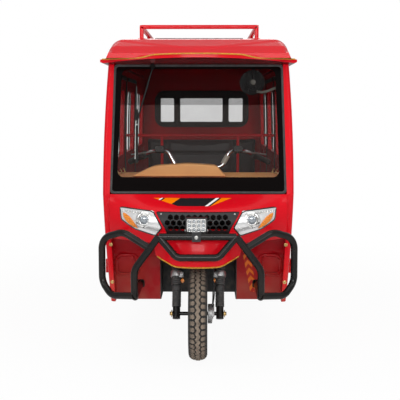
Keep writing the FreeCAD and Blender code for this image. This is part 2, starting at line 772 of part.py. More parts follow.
for word, side in SIDES:
    wall = new_body(f"wall_blank_{word}")
    pillar_hinges = []
    side_pad(wall, side, ZERO, d.wall, behind(d.front_knee), behind(d.rear_face))
    near = (d.side_low_x - 200) * side
    far = (d.hinge_x + 200) * side
    low_x, high_x = (near, far) if side > 0 else (far, near)
    trim(wall, "YZ", wall_outline, low_x, high_x)
    openings = [
        front_door_outline(d.door_gap), rear_door_outline(d.door_gap), quarter_outline(ZERO)]
    pocket(wall, "YZ", openings, low_x, high_x)
    arch = rod(d.arch_radius, d.wall * 12, spot(side * (side_x(0) - 200), d.rear_axle, d.wheel_radius),
               V(side, 0, 0))
    bind(arch, ".Placement.Base.y", behind(d.rear_axle))
    bind(arch, ".Placement.Base.z", d.wheel_radius)
    arched_wall = cut(wall, [arch])

    # Moulded corner panel: the front pillar from the sill to the roof.
    post = new_body(f"corner_blank_{word}")
    pad(post, "XZ", [[
        (d.corner_low_x * side, d.ground_to_sill),
        ((d.hinge_x + 60) * side, d.ground_to_sill),
        ((d.hinge_x + 60) * side, d.wall_top),
        (d.corner_top_x * side, d.wall_top),
        (d.corner_knee_x * side, d.knee_height),
        (d.corner_knee_x * side, d.shield_top),
    ]], behind(d.front_knee), behind(d.front_top + d.post_depth))
    trim(post, "YZ", front_edge(ZERO) + front_edge(d.post_depth)[::-1], low_x, high_x)
    outer = new_body(f"corner_outer_{word}")
    side_pad(outer, side, ZERO, d.wall * 4, behind(d.front_knee - 20),
             behind(d.front_top + d.post_depth + 20))
    whole = doc.addObject("Part::Common", "corner")
    whole.Base = post
    whole.Tool = outer
    doc.recompute()
    keep(rounded(whole, front_outer_edges(whole, side), d.corner_round), f"corner_panel_{word}")

    # Doors with their hinges, each as thick as the wall.
    for place, outline in (("front", front_door_outline), ("rear", rear_door_outline)):
        door = new_body(f"door_blank_{place}_{word}")
        start = d.front_door_start if place == "front" else d.rear_door_start
        end = d.front_door_end if place == "front" else d.rear_door_end
        side_pad(door, side, ZERO, d.wall, behind(start - 20), behind(end + 20))
        trim(door, "YZ", outline(ZERO), low_x, high_x)
        pocket(door, "YZ", [window_outline(place, ZERO)], low_x, high_x)
        door_hinges = hinge_leaves(side, start, 1)
        handle_z = d.window_low - d.handle_height * 3
        door_x = side_x(float(handle_z))
        ends = sorted(((door_x - float(d.wall) / 2) * side, (door_x + float(d.handle_proud)) * side))
        handle = box(Size(ends[0], str(ends[0])), Size(ends[1], str(ends[1])),
                     behind(end - d.handle_inset - d.handle_length), behind(end - d.handle_inset),
                     handle_z, handle_z + d.handle_height)
        keep(fuse([door, handle] + door_hinges), f"{place}_door_{word}")
        pillar_hinges += hinge_leaves(side, start, -1)
        pane = new_body(f"pane_{place}_{word}")
        side_pad(pane, side, d.wall / 2, d.wall / 2 + d.glass, behind(start), behind(end))
        trim(pane, "YZ", window_outline(place, d.fit_gap), low_x, high_x)
        keep(pane, f"{place}_door_glass_{word}")

    keep(fuse([arched_wall] + pillar_hinges), f"side_wall_{word}")

quarter_panes = []
for word, side in SIDES:
    pane = new_body(f"quarter_pane_{word}")
    side_pad(pane, side, d.wall / 2, d.wall / 2 + d.glass,
             behind(d.quarter_start), behind(d.quarter_end))
    near, far = (d.side_low_x - 200) * side, (d.hinge_x + 200) * side
    low_x, high_x = (near, far) if side > 0 else (far, near)
    trim(pane, "YZ", quarter_outline(d.fit_gap), low_x, high_x)
    quarter_panes.append(pane)
keep(group(quarter_panes), "quarter_glass")

# Chassis: two rails under the floor, cross members, and the backbone to the head tube.

rail_top = d.ground_to_sill + d.rail_height
cross_half = d.side_low_x - d.wall - d.fit_gap
beam_half = d.rail_width * 0.75
frame_parts = []
for word, side in SIDES:
    middle = d.rail_half * side
    frame_parts.append(box(
        middle - d.rail_width / 2, middle + d.rail_width / 2,
        behind(d.guard_plate), behind(d.chassis_rear), d.ground_to_sill, rail_top))
    inner, outer = d.rail_half * side, (d.guard_leg_x + d.guard_radius) * side
    low_x, high_x = (inner, outer) if side > 0 else (outer, inner)
    frame_parts.append(box(
        low_x, high_x, behind(d.guard_plate), behind(d.guard_plate + d.rail_width),
        d.ground_to_sill, d.guard_foot + d.guard_radius * 2))
for distance in (d.well_end + d.sheet_steel + d.fit_gap, d.partition,
                 d.rear_door_end, d.chassis_rear - d.rail_width):
    frame_parts.append(box(
        -cross_half, cross_half, behind(distance), behind(distance + d.rail_width),
        d.ground_to_sill, rail_top))
post_front = behind(d.well_end + d.sheet_steel + d.fit_gap)
arm_low = d.well_top + d.sheet_steel + d.fit_gap
arm_front = on_axis(d.head_start + d.head_length / 2)
frame_parts.append(box(
    -beam_half, beam_half, post_front, post_front + d.rail_width,
    d.ground_to_sill, arm_low + d.rail_height))
frame_parts.append(box(
    -beam_half, beam_half, Size(arm_front.y, str(arm_front.y)), post_front + d.rail_width,
    arm_low, arm_low + d.rail_height))
head = rod(d.head_radius, d.head_length, on_axis(d.head_start), axis_up)
bore = rod(d.stem_radius + d.steer_bore_gap, d.head_length * 2, on_axis(d.head_start - 60), axis_up)
keep(cut(fuse(frame_parts + [head]), [bore]), "chassis_frame")

# Floor: one steel plate on the rails, notched for the wheel wells and the guard's brackets.
plate = new_body("floor_plate")
bracket_in = d.rail_half - d.fit_gap
bracket_out = d.guard_leg_x + d.guard_radius + d.fit_gap
bracket_back = behind(d.guard_plate + d.rail_width + d.fit_gap)
floor_front = behind(d.shield_deep + d.sheet_steel + d.fit_gap)
house_inner = d.rear_track / 2 - d.tyre_width / 2 - 20
house_radius = d.arch_radius + d.sheet_steel
well_side = d.well_half + d.sheet_steel + d.fit_gap
post_side = beam_half + d.fit_gap
left_edge = [
    (post_side, post_front + d.rail_width + d.fit_gap),
    (post_side, post_front),
    (well_side, post_front),
    (well_side, floor_front),
    (bracket_in, floor_front),
    (bracket_in, bracket_back),
    (bracket_out, bracket_back),
    (bracket_out, floor_front),
    (cross_half, floor_front),
    (cross_half, behind(d.rear_axle - house_radius)),
    (house_inner, behind(d.rear_axle - house_radius)),
    (house_inner, behind(d.rear_axle + house_radius)),
    (cross_half, behind(d.rear_axle + house_radius)),
    (cross_half, behind(d.rear_face - d.wall - d.fit_gap)),
]
right_edge = [(-x, y) for x, y in left_edge[::-1]]
pad(plate, "XY", [left_edge + right_edge], rail_top, rail_top + d.sheet_steel)
keep(plate, "floor_pan")

# Housings over the rear wheels, between the floor and the walls.
housings = []
for word, side in SIDES:
    house = new_body(f"wheel_house_{word}")
    ring = [
        (behind(d.rear_axle - house_radius), rail_top),
        (behind(d.rear_axle + house_radius), rail_top),
        (behind(d.rear_axle + house_radius), d.wheel_radius + house_radius, 190),
        (behind(d.rear_axle - house_radius), d.wheel_radius + house_radius, 190),
    ]
    gap = d.sheet_steel
    inside = [
        (behind(d.rear_axle - house_radius) + gap, rail_top - 10),
        (behind(d.rear_axle + house_radius) - gap, rail_top - 10),
        (behind(d.rear_axle + house_radius) - gap, d.wheel_radius + house_radius - gap, 185),
        (behind(d.rear_axle - house_radius) + gap, d.wheel_radius + house_radius - gap, 185),
    ]
    x_in, x_out = house_inner * side, (d.side_low_x - d.wall - d.fit_gap) * side
    low_x, high_x = (x_in, x_out) if side > 0 else (x_out, x_in)
    pad(house, "YZ", [ring], low_x, high_x)
    skin = d.sheet_steel
    if side > 0:
        pocket(house, "YZ", [inside], low_x + skin, high_x + 10)
    else:
        pocket(house, "YZ", [inside], low_x - 10, high_x - skin)
    housings.append(house)
keep(group(housings), "wheel_housings")

# Front wheel well: a folded steel box under the nose, open below and in front.
well_parts = [
    box(-d.well_half, d.well_half, behind(d.well_end), behind(d.well_end + d.sheet_steel),
        d.ground_to_sill, d.well_top),
    box(-d.well_half - d.sheet_steel, d.well_half + d.sheet_steel, behind(d.well_front),
        behind(d.well_end + d.sheet_steel), d.well_top, d.well_top + d.sheet_steel),
]
for word, side in SIDES:
    inner, outer = d.well_half * side, (d.well_half + d.sheet_steel) * side
    low_x, high_x = (inner, outer) if side > 0 else (outer, inner)
    well_parts.append(box(low_x, high_x, behind(d.shield_deep),
                          behind(d.well_end + d.sheet_steel), d.ground_to_sill, d.well_top))
head_hole = rod(d.head_radius + 4, d.head_length * 2, on_axis(d.head_start - 60), axis_up)
keep(cut(fuse(well_parts), [head_hole]), "wheel_well")

# Leg shields: bent panels below the headlamps, open round the stays of the guard, with a raised
# frame pressed in beside each stay.
seam_foot = d.corner_low_x - d.fit_gap
seam_head = d.corner_knee_x - d.fit_gap
shields = []
for word, side in SIDES:
    shield = new_body(f"shield_{word}")
    skin = d.sheet_steel
    knee_z = d.shield_top - d.shield_bend
    bend = d.shield_deep - skin * 3
    bent = [
        (behind(d.cowl_back), d.shield_top),
        (behind(bend), knee_z, 60),
        (behind(d.shield_deep), d.ground_to_sill),
        (behind(d.shield_deep) + skin, d.ground_to_sill),
        (behind(bend) + skin, knee_z, 60 - skin),
        (behind(d.cowl_back) + skin, d.shield_top),
    ]
    inner = (d.well_half + d.sheet_steel + d.fit_gap) * side
    low_x, high_x = (inner, seam_head * side) if side > 0 else (seam_head * side, inner)
    pad(shield, "YZ", [bent], low_x, high_x)
    frame_ends = [(d.guard_leg_x + 32) * side, (seam_foot - 4) * side]
    frame_low, frame_high = sorted(frame_ends, key=float)
    top_z, foot_z = knee_z - 14, knee_z - 124
    pad(shield, "XZ", [
        rectangle(frame_low, frame_high, foot_z, top_z, 26),
        rectangle(frame_low + 7, frame_high - 7, foot_z + 7, top_z - 7, 19)],
        behind(bend - 9), behind(bend + 6))
    trim(shield, "XZ", [
        (inner, d.ground_to_sill), (seam_foot * side, d.ground_to_sill),
        (seam_head * side, d.shield_top), (inner, d.shield_top)],
        behind(d.front_knee), behind(d.guard_plate))
    ring = [(d.guard_leg_x - 24) * side, (d.guard_leg_x + 24) * side]
    pocket(shield, "XZ", [rectangle(min(ring, key=float), max(ring, key=float),
           d.guard_foot - 5, d.guard_foot + d.guard_radius * 2 + 5, 12)],
           behind(d.cowl_back), behind(d.shield_deep + 40))
    shields.append(shield)
keep(group(shields), "leg_shields")

# Front cowl. Each row of the table is one level section of the shell.
# drop below the windshield foot, side edge and middle ahead of the windshield foot
COWL = [
    (d.cowl_height, -28, 172),
    (140, 20, 190),
    (70, 14, 152),
    (28, 6, 76),
    (0, 0, 10),
]
cowl_half = d.corner_knee_x - d.fit_gap


def cowl_sections(shift, half, back):
    """The sections moved back by shift, with their places."""
    loops, places = [], []
    for drop, edge, middle in COWL:
        sag = middle - edge
        bow = (cowl_half * cowl_half + sag * sag) / (2 * sag)
        drawn_back = bow - (bow * bow - half * half).root()
        front = behind(d.front_knee - middle + shift) + drawn_back
        corners = [(-half, front), (half, front), (half, behind(back)), (-half, behind(back))]
        loops.append((corners, {0: bow}))
        places.append(d.knee_height - drop)
    return loops, places


def grown(corners, amount):
    """The outline with every edge moved outward; the corners run anticlockwise."""
    result = []
    spots = [V(float(c[0]), float(c[1]), 0) for c in corners]
    area = sum(a.x * b.y - b.x * a.y for a, b in zip(spots, spots[1:] + spots[:1]))
    turn_sign = 1 if area > 0 else -1
    for i, corner in enumerate(corners):
        before = (spots[i] - spots[i - 1]).normalize()
        after = (spots[(i + 1) % len(spots)] - spots[i]).normalize()
        out_before = V(before.y, -before.x, 0) * turn_sign
        out_after = V(after.y, -after.x, 0) * turn_sign
        middle = (out_before + out_after).normalize()
        move = middle * (amount / middle.dot(out_before))
        moved = [corner[0] + move.x, corner[1] + move.y]
        if len(corner) > 2:
            moved.append(corner[2] + amount)
        result.append(tuple(moved))
    return result


# x, height above or below the lamp's middle, rounding
LAMP = [(410, 58, 14), (228, 44, 12), (180, -38, 14), (216, -84, 12), (330, -52, 60), (400, -8, 20)]
GRILLE = [(216, 41, 6), (-216, 41, 6), (-170, -38, 6), (-158, -68, 8), (158, -68, 8), (170, -38, 6)]


def lamp_outline(side):
    return [(x * side, d.lamp_height + z, r) for x, z, r in LAMP]


grille_outline = [(x, d.lamp_height + z, r) for x, z, r in GRILLE]
cowl = new_body("cowl")
skin = float(d.sheet_steel)
loops, places = cowl_sections(0, cowl_half, d.cowl_back)
loft(cowl, "XY", loops, places)
loops, places = cowl_sections(skin, cowl_half - skin, d.cowl_back + 20)
places[-1] = places[-1] - skin
places[0] = places[0] - 1
loft(cowl, "XY", loops, places, cut=True)
# height, half width, side edge and middle behind the guard
NOSE = [
    (d.lip_mid - 1, 205, 150, 40),
    (d.well_top + 18, 222, 150, 44),
    (d.knee_height - 176, 232, 160, 74),
]


def nose_sections(shift, back):
    loops, places = [], []
    for height, half, edge, middle in NOSE:
        sag = edge - middle
        corners = [
            (-half + shift, behind(edge + shift)), (half - shift, behind(edge + shift)),
            (half - shift, behind(back)), (-half + shift, behind(back))]
        loops.append((corners, {0: (half * half + sag * sag) / (2 * sag)}))
        places.append(height)
    return loops, places


loops, places = nose_sections(0, 230)
loft(cowl, "XY", loops, places)
loops, places = nose_sections(skin, 420)
places[0] = places[0] - 1
places[-1] = places[-1] - skin
loft(cowl, "XY", loops, places, cut=True)
wide = d.lip_half * 1.2
flat = d.lip_half * 0.55
below_lip = [
    (-wide, d.lip_mid - 60), (wide, d.lip_mid - 60), (wide, d.lip_side + 12),
    (d.lip_half, d.lip_side), (flat, d.lip_mid + 10, 90), (-flat, d.lip_mid + 10, 90),
    (-d.lip_half, d.lip_side), (-wide, d.lip_side + 12)]
pocket(cowl, "XZ", [below_lip], behind(0), behind(420))
for word, side in SIDES:
    pocket(cowl, "XZ", [grown(lamp_outline(side), 0.6)], behind(0), behind(420))
pocket(cowl, "XZ", [grown(grille_outline, 0.6)], behind(60), behind(200))
keep(cowl, "front_cowl")

# Headlamps and grille: pieces of the same curved front, cut to their outlines. The lamps
# stand a little proud of the cowl and the grille lies a little below it.
def cowl_slice(name, front, back, outlines):
    """What lies between two depths below the cowl's surface, inside each outline."""
    pieces = []
    for number, outline in enumerate(outlines):
        piece = new_body(f"{name}_{number}")
        loops, places = cowl_sections(front, cowl_half, d.cowl_back)
        loft(piece, "XY", loops, places)
        loops, places = cowl_sections(back, cowl_half + 10, d.cowl_back + 40)
        loft(piece, "XY", loops, places, cut=True)
        trim(piece, "XZ", outline, behind(0), behind(d.cowl_back + 60))
        pieces.append(piece)
    return pieces


lens_x, lens_round, lens_bezel, lens_back = 275, 33, 5, 157
lamps = []
for slice_body, (word, side) in zip(
        cowl_slice("lamp", -3, 50, [lamp_outline(side) for word, side in SIDES]), SIDES):
    ahead = V(0, 1, 0)
    bezel = rod(lens_round, 45, spot(lens_x * side, lens_back, d.lamp_height), ahead)
    hollow = rod(lens_round - lens_bezel, 10, spot(lens_x * side, lens_back - 1, d.lamp_height), ahead)
    lens = rod(lens_round - lens_bezel - 3, 40, spot(lens_x * side, lens_back + 3, d.lamp_height), ahead)
    lamps.append(fuse([cut(fuse([slice_body, bezel]), [hollow]), lens]))
keep(group(lamps), "headlamps")

# Six-sided openings of the grille, in staggered rows. One prism for each, all cut at once.
cell, web = 15, 5
pitch = cell * math.sqrt(3) + web
row_pitch = pitch * math.sqrt(3) / 2
inset = grown(grille_outline, -(cell + 7))
openings = []
for row in range(-3, 4):
    for column in range(-9, 10):
        x = (column + (row % 2) / 2) * pitch
        z = row * row_pitch - 12
        spots = [V(float(c[0]), float(c[1]) - float(d.lamp_height), 0) for c in inset]
        sides = zip(spots, spots[1:] + spots[:1])
        here = V(x, z, 0)
        if all((end - start).cross(here - start).z > 0 for start, end in sides):
            ring = [spot(x + cell * math.sin(math.radians(60 * turn_step)), 60,
                         float(d.lamp_height) + z + cell * math.cos(math.radians(60 * turn_step)))
                    for turn_step in range(7)]
            openings.append(Part.Face(Part.makePolygon(ring)).extrude(V(0, 200, 0)))
cells = made(Part.makeCompound(openings), "grille_cells")
keep(cut(cowl_slice("grille_panel", 5, 13, [grille_outline])[0], [cells]), "grille")

# Windshield: flat glass in a rubber seal, leaning back between the corner panels.
lean_run = d.front_top - d.front_knee
lean_rise = d.wall_top - d.knee_height
lean = math.degrees(math.atan2(float(lean_run), float(lean_rise)))
slope = math.hypot(float(lean_run), float(lean_rise))
lean_place = FreeCAD.Placement(
    spot(0, d.front_knee, d.knee_height), FreeCAD.Rotation(V(1, 0, 0), -lean))
foot_v = 3.8
top_v = slope - 0.4


def shield_outline(shrink, radius):
    foot_half = d.corner_knee_x - d.fit_gap - shrink
    top_half = d.corner_top_x - d.fit_gap - shrink
    return [(-foot_half, foot_v + shrink, radius), (foot_half, foot_v + shrink, radius),
            (top_half, top_v - shrink, radius), (-top_half, top_v - shrink, radius)]


seal = new_body("seal")
pad(seal, "XZ", [shield_outline(0, 20), shield_outline(d.seal_width, 14)], ZERO, d.seal_depth)
seal.Placement = lean_place
keep(seal, "windshield_seal")
glass = new_body("front_glass")
pad(glass, "XZ", [shield_outline(d.seal_width + d.fit_gap, 14)],
    d.seal_depth / 2 - d.glass / 2, d.seal_depth / 2 + d.glass / 2)
glass.Placement = lean_place
keep(glass, "windshield_glass")

# Roof: a rim that lies on the walls and flares out into a brim, and the dome over it.
roof = new_body("roof_shell")
roof_foot = d.wall_top + d.fit_gap
pad(roof, "YZ", [[
    (behind(d.brim_front), d.brim_under), (behind(d.front_top + 12), roof_foot),
    (behind(d.brim_rear), roof_foot), (behind(d.brim_rear), d.brim_top),
    (behind(d.brim_front), d.brim_top)]], -d.brim_half, d.brim_half)
brim_sag = d.brim_corner - d.brim_front
brim_bow = (d.brim_half * d.brim_half + brim_sag * brim_sag) / (2 * brim_sag)
trim(roof, "XY", ([
    (-d.brim_half, behind(d.brim_corner)), (d.brim_half, behind(d.brim_corner)),
    (d.brim_half, behind(d.brim_rear), 60), (-d.brim_half, behind(d.brim_rear), 60)],
    {0: brim_bow}), d.wall_top - 100, d.dome_top + 100)
drop_bow = (d.brim_half * d.brim_half + d.brim_drop * d.brim_drop) / (2 * d.brim_drop)
tip_top = d.brim_top - d.brim_drop
tip_under = tip_top - d.brim_lip
trim(roof, "XZ", ([
    (-d.side_top_x - 2, d.wall_top - 50), (d.side_top_x + 2, d.wall_top - 50),
    (d.side_top_x + 2, roof_foot), (d.brim_half, tip_under), (d.brim_half, tip_top),
    (-d.brim_half, tip_top), (-d.brim_half, tip_under), (-d.side_top_x - 2, roof_foot)],
    {4: drop_bow}), behind(0), behind(d.overall_length))
# behind the guard, half width inside the full dome, height below the crown, rounding
DOME = [
    (ZERO - 110, 26, 108, 10), (ZERO - 30, 14, 66, 34), (ZERO + 100, 4, 21, 78),
    (ZERO + 300, 0, 0, 96)]
DOME_END = [(240, 0, 0, 96), (60, 10, 21, 78), (4, 26, 81, 30)]
DOME_INSIDE = [(ZERO + 60, 8, 40, 50), (ZERO + 100, 4, 22, 76), (ZERO + 300, 0, 0, 94)]
DOME_INSIDE_END = [(240, 0, 0, 94), (64, 10, 22, 76)]


def dome_sections(rows, end_rows, foot, skin):
    """Rows give the distance behind the walls' front, end rows that ahead of the rear wall."""
    loops, places = [], []
    stations = [(d.front_top + distance, *rest) for distance, *rest in rows]
    stations += [(d.rear_face - distance, *rest) for distance, *rest in end_rows]
    for distance, less, drop, radius in stations:
        half = d.dome_half - less - skin
        top = d.dome_top - drop - skin
        flare = d.dome_flare
        loops.append([
            (-half - flare, foot), (half + flare, foot), (half, foot + flare * 2.2),
            (half - 18, top, radius), (-half + 18, top, radius), (-half, foot + flare * 2.2)])
        places.append(behind(distance))
    return loops, places


loops, places = dome_sections(DOME, DOME_END, d.brim_top - 20, 0)
loft(roof, "XZ", loops, places, ruled=True)
loops, places = dome_sections(DOME_INSIDE, DOME_INSIDE_END, d.wall_top - 5, d.roof_skin)
loft(roof, "XZ", loops, places, cut=True, ruled=True)
keep(roof, "roof")

# Roof rack of square tube on posts.
rack_parts = []
rack_rows = [d.rack_front + (d.rack_rear - d.rack_front) * share for share in (0, 1 / 3, 2 / 3, 1)]
for word, side in SIDES:
    middle = d.rack_half * side
    low_x, high_x = middle - d.rack_tube / 2, middle + d.rack_tube / 2
    rack_parts.append(box(low_x, high_x, behind(d.rack_front), behind(d.rack_rear) + d.rack_tube,
                          d.rack_top - d.rack_tube, d.rack_top))
    for distance in rack_rows:
        rack_parts.append(box(low_x, high_x, behind(distance), behind(distance) + d.rack_tube,
                              d.dome_top + d.fit_gap, d.rack_top - 1))
for distance in rack_rows:
    rack_parts.append(box(-d.rack_half, d.rack_half, behind(distance) + 2,
                          behind(distance) + d.rack_tube - 2,
                          d.rack_top - d.rack_tube - 3, d.rack_top - 3))
keep(fuse(rack_parts), "roof_rack")

# Rear wall with its window.
rear = new_body("rear_panel")
rear_low = d.side_low_x - d.wall - d.fit_gap
rear_high = d.side_top_x - d.wall - d.fit_gap
rear_bow = d.side_bow - d.wall - d.fit_gap
pad(rear, "XZ", [([
    (-rear_low, d.ground_to_sill), (rear_low, d.ground_to_sill), (rear_high, d.wall_top),
    (-rear_high, d.wall_top)], {1: rear_bow, 3: rear_bow})],
    behind(d.rear_face - d.wall), behind(d.rear_face))
rib_side = d.rear_window_half + 54
rib_low, rib_high = d.rear_window_low - 50, d.rear_window_high + 56
rib = [
    rectangle(-rib_side, rib_side, rib_low, rib_high, 60),
    rectangle(-rib_side + d.emboss_width, rib_side - d.emboss_width,
              rib_low + d.emboss_width, rib_high - d.emboss_width, 48)]
pad(rear, "XZ", rib, behind(d.rear_face - d.wall - d.emboss_height), behind(d.rear_face - d.wall))
pad(rear, "XZ", rib, behind(d.rear_face), behind(d.rear_face + d.emboss_height))
pocket(rear, "XZ", [rectangle(-d.rear_window_half, d.rear_window_half, d.rear_window_low,
                              d.rear_window_high, d.rear_window_round)],
       behind(d.rear_face - d.wall), behind(d.rear_face))
keep(rear, "rear_wall")

pane_low, pane_high = d.rear_window_low + 27, d.rear_window_high - 44
pane_edge = d.rear_window_half - 32
bar_in, bar_out = d.rear_bar_x - d.rear_bar / 2, d.rear_bar_x + d.rear_bar / 2
pane_spans = [(-pane_edge, -bar_out), (-bar_in, bar_in), (bar_out, pane_edge)]
frame = new_body("window_surround")
flange = 13
round_in = d.rear_window_round
pad(frame, "XZ", [rectangle(
    -d.rear_window_half + d.fit_gap, d.rear_window_half - d.fit_gap,
    d.rear_window_low + d.fit_gap, d.rear_window_high - d.fit_gap, round_in)],
    behind(d.rear_face - d.wall - 10), behind(d.rear_face + 4))
pad(frame, "XZ", [rectangle(
    -d.rear_window_half - flange, d.rear_window_half + flange,
    d.rear_window_low - flange, d.rear_window_high + flange, round_in + 10)],
    behind(d.rear_face - d.wall - 10), behind(d.rear_face - d.wall) - d.fit_gap)
for left, right in pane_spans:
    pocket(frame, "XZ", [rectangle(left, right, pane_low, pane_high, 18)],
           behind(d.rear_face - d.wall - 20), behind(d.rear_face + 10))
keep(frame, "rear_window_frame")
panes = []
for left, right in pane_spans:
    pane = new_body("rear_pane")
    g = d.fit_gap
    pad(pane, "XZ", [rectangle(left + g, right - g, pane_low + g, pane_high - g, 18)],
        behind(d.rear_face - d.wall / 2), behind(d.rear_face - d.wall / 2 + d.glass))
    panes.append(pane)
keep(group(panes), "rear_window_glass")

tails = []
for word, side in SIDES:
    ends = [(d.tail_lamp_x - d.tail_lamp_half) * side, (d.tail_lamp_x + d.tail_lamp_half) * side]
    tail = new_body(f"tail_{word}")
    pad(tail, "XZ", [rectangle(min(ends, key=float), max(ends, key=float), d.tail_lamp_low,
                               d.tail_lamp_low + d.tail_lamp_tall, 14)],
        behind(d.rear_face + d.fit_gap), behind(d.rear_face + d.tail_lamp_thick))
    tails.append(tail)
keep(group(tails), "tail_lamps")

# Rear bumper: a tube held in a block on each rail.
bumper_y = behind(d.overall_length - d.bumper_radius - 4)
bumper_tube = rod(d.bumper_radius, d.rear_bumper_half * 2,
                  V(-float(d.rear_bumper_half), float(bumper_y), float(d.rear_bumper_height)),
                  V(1, 0, 0))
bumper_parts = [bumper_tube]
block_half = d.rail_width / 2
for word, side in SIDES:
    middle = d.rail_half * side
    bumper_parts.append(box(
        middle - block_half, middle + block_half, behind(d.rear_face + d.fit_gap),
        behind(d.overall_length), d.rear_bumper_height - d.bumper_radius - 12,
        d.rear_bumper_height + d.bumper_radius + 4))
keep(fuse(bumper_parts), "rear_bumper")

# Front guard of bent black tube: a low centre loop, a leg and a side hoop on each side. Heights
# at the top go by the guard's top bar, those at the bottom by its feet.
front_bar = float(d.guard_radius)
leg_x = float(d.guard_leg_x)
top_z = float(d.guard_top)
foot_z = float(d.guard_foot) + front_bar
bar_half, bar_back = 193, front_bar + 12
leg_back, hoop_back = 50, float(d.guard_plate) - 0.3
loop_half, loop_drop = 104, 103
centre_loop = [
    spot(-bar_half, bar_back, top_z), spot(-loop_half, front_bar, top_z - loop_drop),
    spot(loop_half, front_bar, top_z - loop_drop), spot(bar_half, bar_back, top_z)]
guard_shapes = [tube(centre_loop, (45, 45), front_bar)]
for word, side in SIDES:
    leg = [
        spot(bar_half * side, bar_back, top_z + 2), spot(leg_x * side, leg_back, top_z - 171),
        spot(leg_x * side, leg_back, foot_z), spot(leg_x * side, hoop_back, foot_z)]
    guard_shapes.append(tube(leg, (90, 45), front_bar))
    hoop = [
        spot(245 * side, 45, top_z - 58), spot(378 * side, 105, top_z + 14),
        spot(497 * side, 185, top_z - 30), spot(500 * side, 205, foot_z + 55),
        spot(446 * side, 150, foot_z - 6), spot(leg_x * side, leg_back, foot_z + 15)]
    guard_shapes.append(tube(hoop, (88, 84, 70, 78), front_bar))
guard_shapes.append(Part.makeCylinder(front_bar, 2 * bar_half, spot(-bar_half, bar_back, top_z),
                                      V(1, 0, 0)))
keep(made(joined(guard_shapes), "guard"), "bumper_guard")

# Work lamp in a bracket on the guard's top bar.
lamp_x, lamp_half = -6, 54
lamp_foot, lamp_tall = d.guard_top + 22, 72
saddle = d.guard_top + d.guard_radius + d.fit_gap
lamp_parts = [
    box(ZERO + lamp_x - lamp_half, ZERO + lamp_x + lamp_half, behind(40), behind(84), lamp_foot,
        lamp_foot + lamp_tall),
    box(ZERO + lamp_x - 22, ZERO + lamp_x + 22, behind(8), behind(11.7), d.guard_top - 22,
        lamp_foot + 4),
    box(ZERO + lamp_x - 22, ZERO + lamp_x + 22, behind(8), behind(60), saddle, lamp_foot + 1),
]
keep(fuse(lamp_parts), "work_lamp")

# Dash with the instrument hump.
seam_lean = (d.corner_knee_x - d.corner_top_x) / (d.wall_top - d.knee_height).number
dash_half = d.corner_knee_x - seam_lean * (d.dash_height - d.knee_height) - d.fit_gap
dash = new_body("dash_board")
pad(dash, "YZ", [[
    (behind(d.front_knee + 52), d.knee_height + 20), (behind(d.dash_rear - 20), d.knee_height - 20),
    (behind(d.dash_rear), d.knee_height, 10), (behind(d.dash_rear), d.dash_height - 8, 12),
    (behind(d.dash_rear - 20), d.dash_height, 12),
    (behind(d.front_knee + 66), d.dash_height - 25)]], -dash_half, dash_half)
# across, height above the dash's rear edge, rounding
HUMP = [(-358, -10, 0), (146, -10, 0), (95, 46, 40), (-60, 56, 200), (-240, 44, 160)]
pad(dash, "XZ", [[(x, d.dash_height + rise, r) if r else (x, d.dash_height + rise)
                  for x, rise, r in HUMP]], behind(d.dash_rear - 160), behind(d.dash_rear - 60))
column_half = 30
pocket(dash, "XY", [rectangle(-column_half, column_half, behind(d.dash_rear - 60),
                              behind(d.dash_rear + 10))],
       d.knee_height - 50, d.dash_height + 80)
keep(dash, "dash")

# Partition rail behind the driver.
inner_x = side_x(float(d.partition_height), float(d.wall)) - float(d.fit_gap) - 0.4
rail_parts = [rod(d.partition_radius, 2 * inner_x, spot(-inner_x, d.partition, d.partition_height),
                  V(1, 0, 0))]
for word, side in SIDES:
    rail_parts.append(rod(d.partition_radius, d.partition_height - d.floor_top - d.fit_gap,
                          spot(side * float(d.partition_post), d.partition,
                               float(d.floor_top) + float(d.fit_gap)), V(0, 0, 1)))
keep(fuse(rail_parts), "partition_rail")

# Driver's seat: a steel box over the battery, a cushion and a backrest under the rail.
base_low = d.floor_top + d.fit_gap
box_rear = d.partition - d.seat_box_back
box_front = box_rear - d.seat_box_depth
box_half = d.seat_box_half
skin = d.sheet_steel
base = new_body("driver_box")
pad(base, "XY", [rectangle(-box_half, box_half, behind(box_front), behind(box_rear))], base_low,
    d.seat_height)
pocket(base, "XY", [rectangle(-box_half + skin, box_half - skin, behind(box_front + skin),
                              behind(box_rear - skin))],
       base_low - 1, d.seat_height - skin)
keep(base, "driver_seat_box")
space = d.battery_inset
keep(box(-box_half + space, box_half - space, behind(box_front + space), behind(box_rear - space),
         base_low, base_low + d.battery_tall), "battery_block")
cushion = new_body("driver_pad")
cushion_half = box_half + d.seat_lap * 0.75
pad(cushion, "XY", [rectangle(-cushion_half, cushion_half, behind(box_front - d.seat_lap),
                              behind(box_rear - d.fit_gap), d.cushion_round)],
    d.seat_height + d.fit_gap, d.seat_height + d.seat_thick)
keep(cushion, "driver_seat")
rest_top = d.partition_height - d.partition_radius - d.fit_gap
rest = new_body("driver_rest")
pad(rest, "XZ", [rectangle(-d.rest_half, d.rest_half, rest_top - d.rest_tall, rest_top, 30)],
    behind(d.partition - d.rest_thick), behind(d.partition))
keep(rest, "driver_backrest")

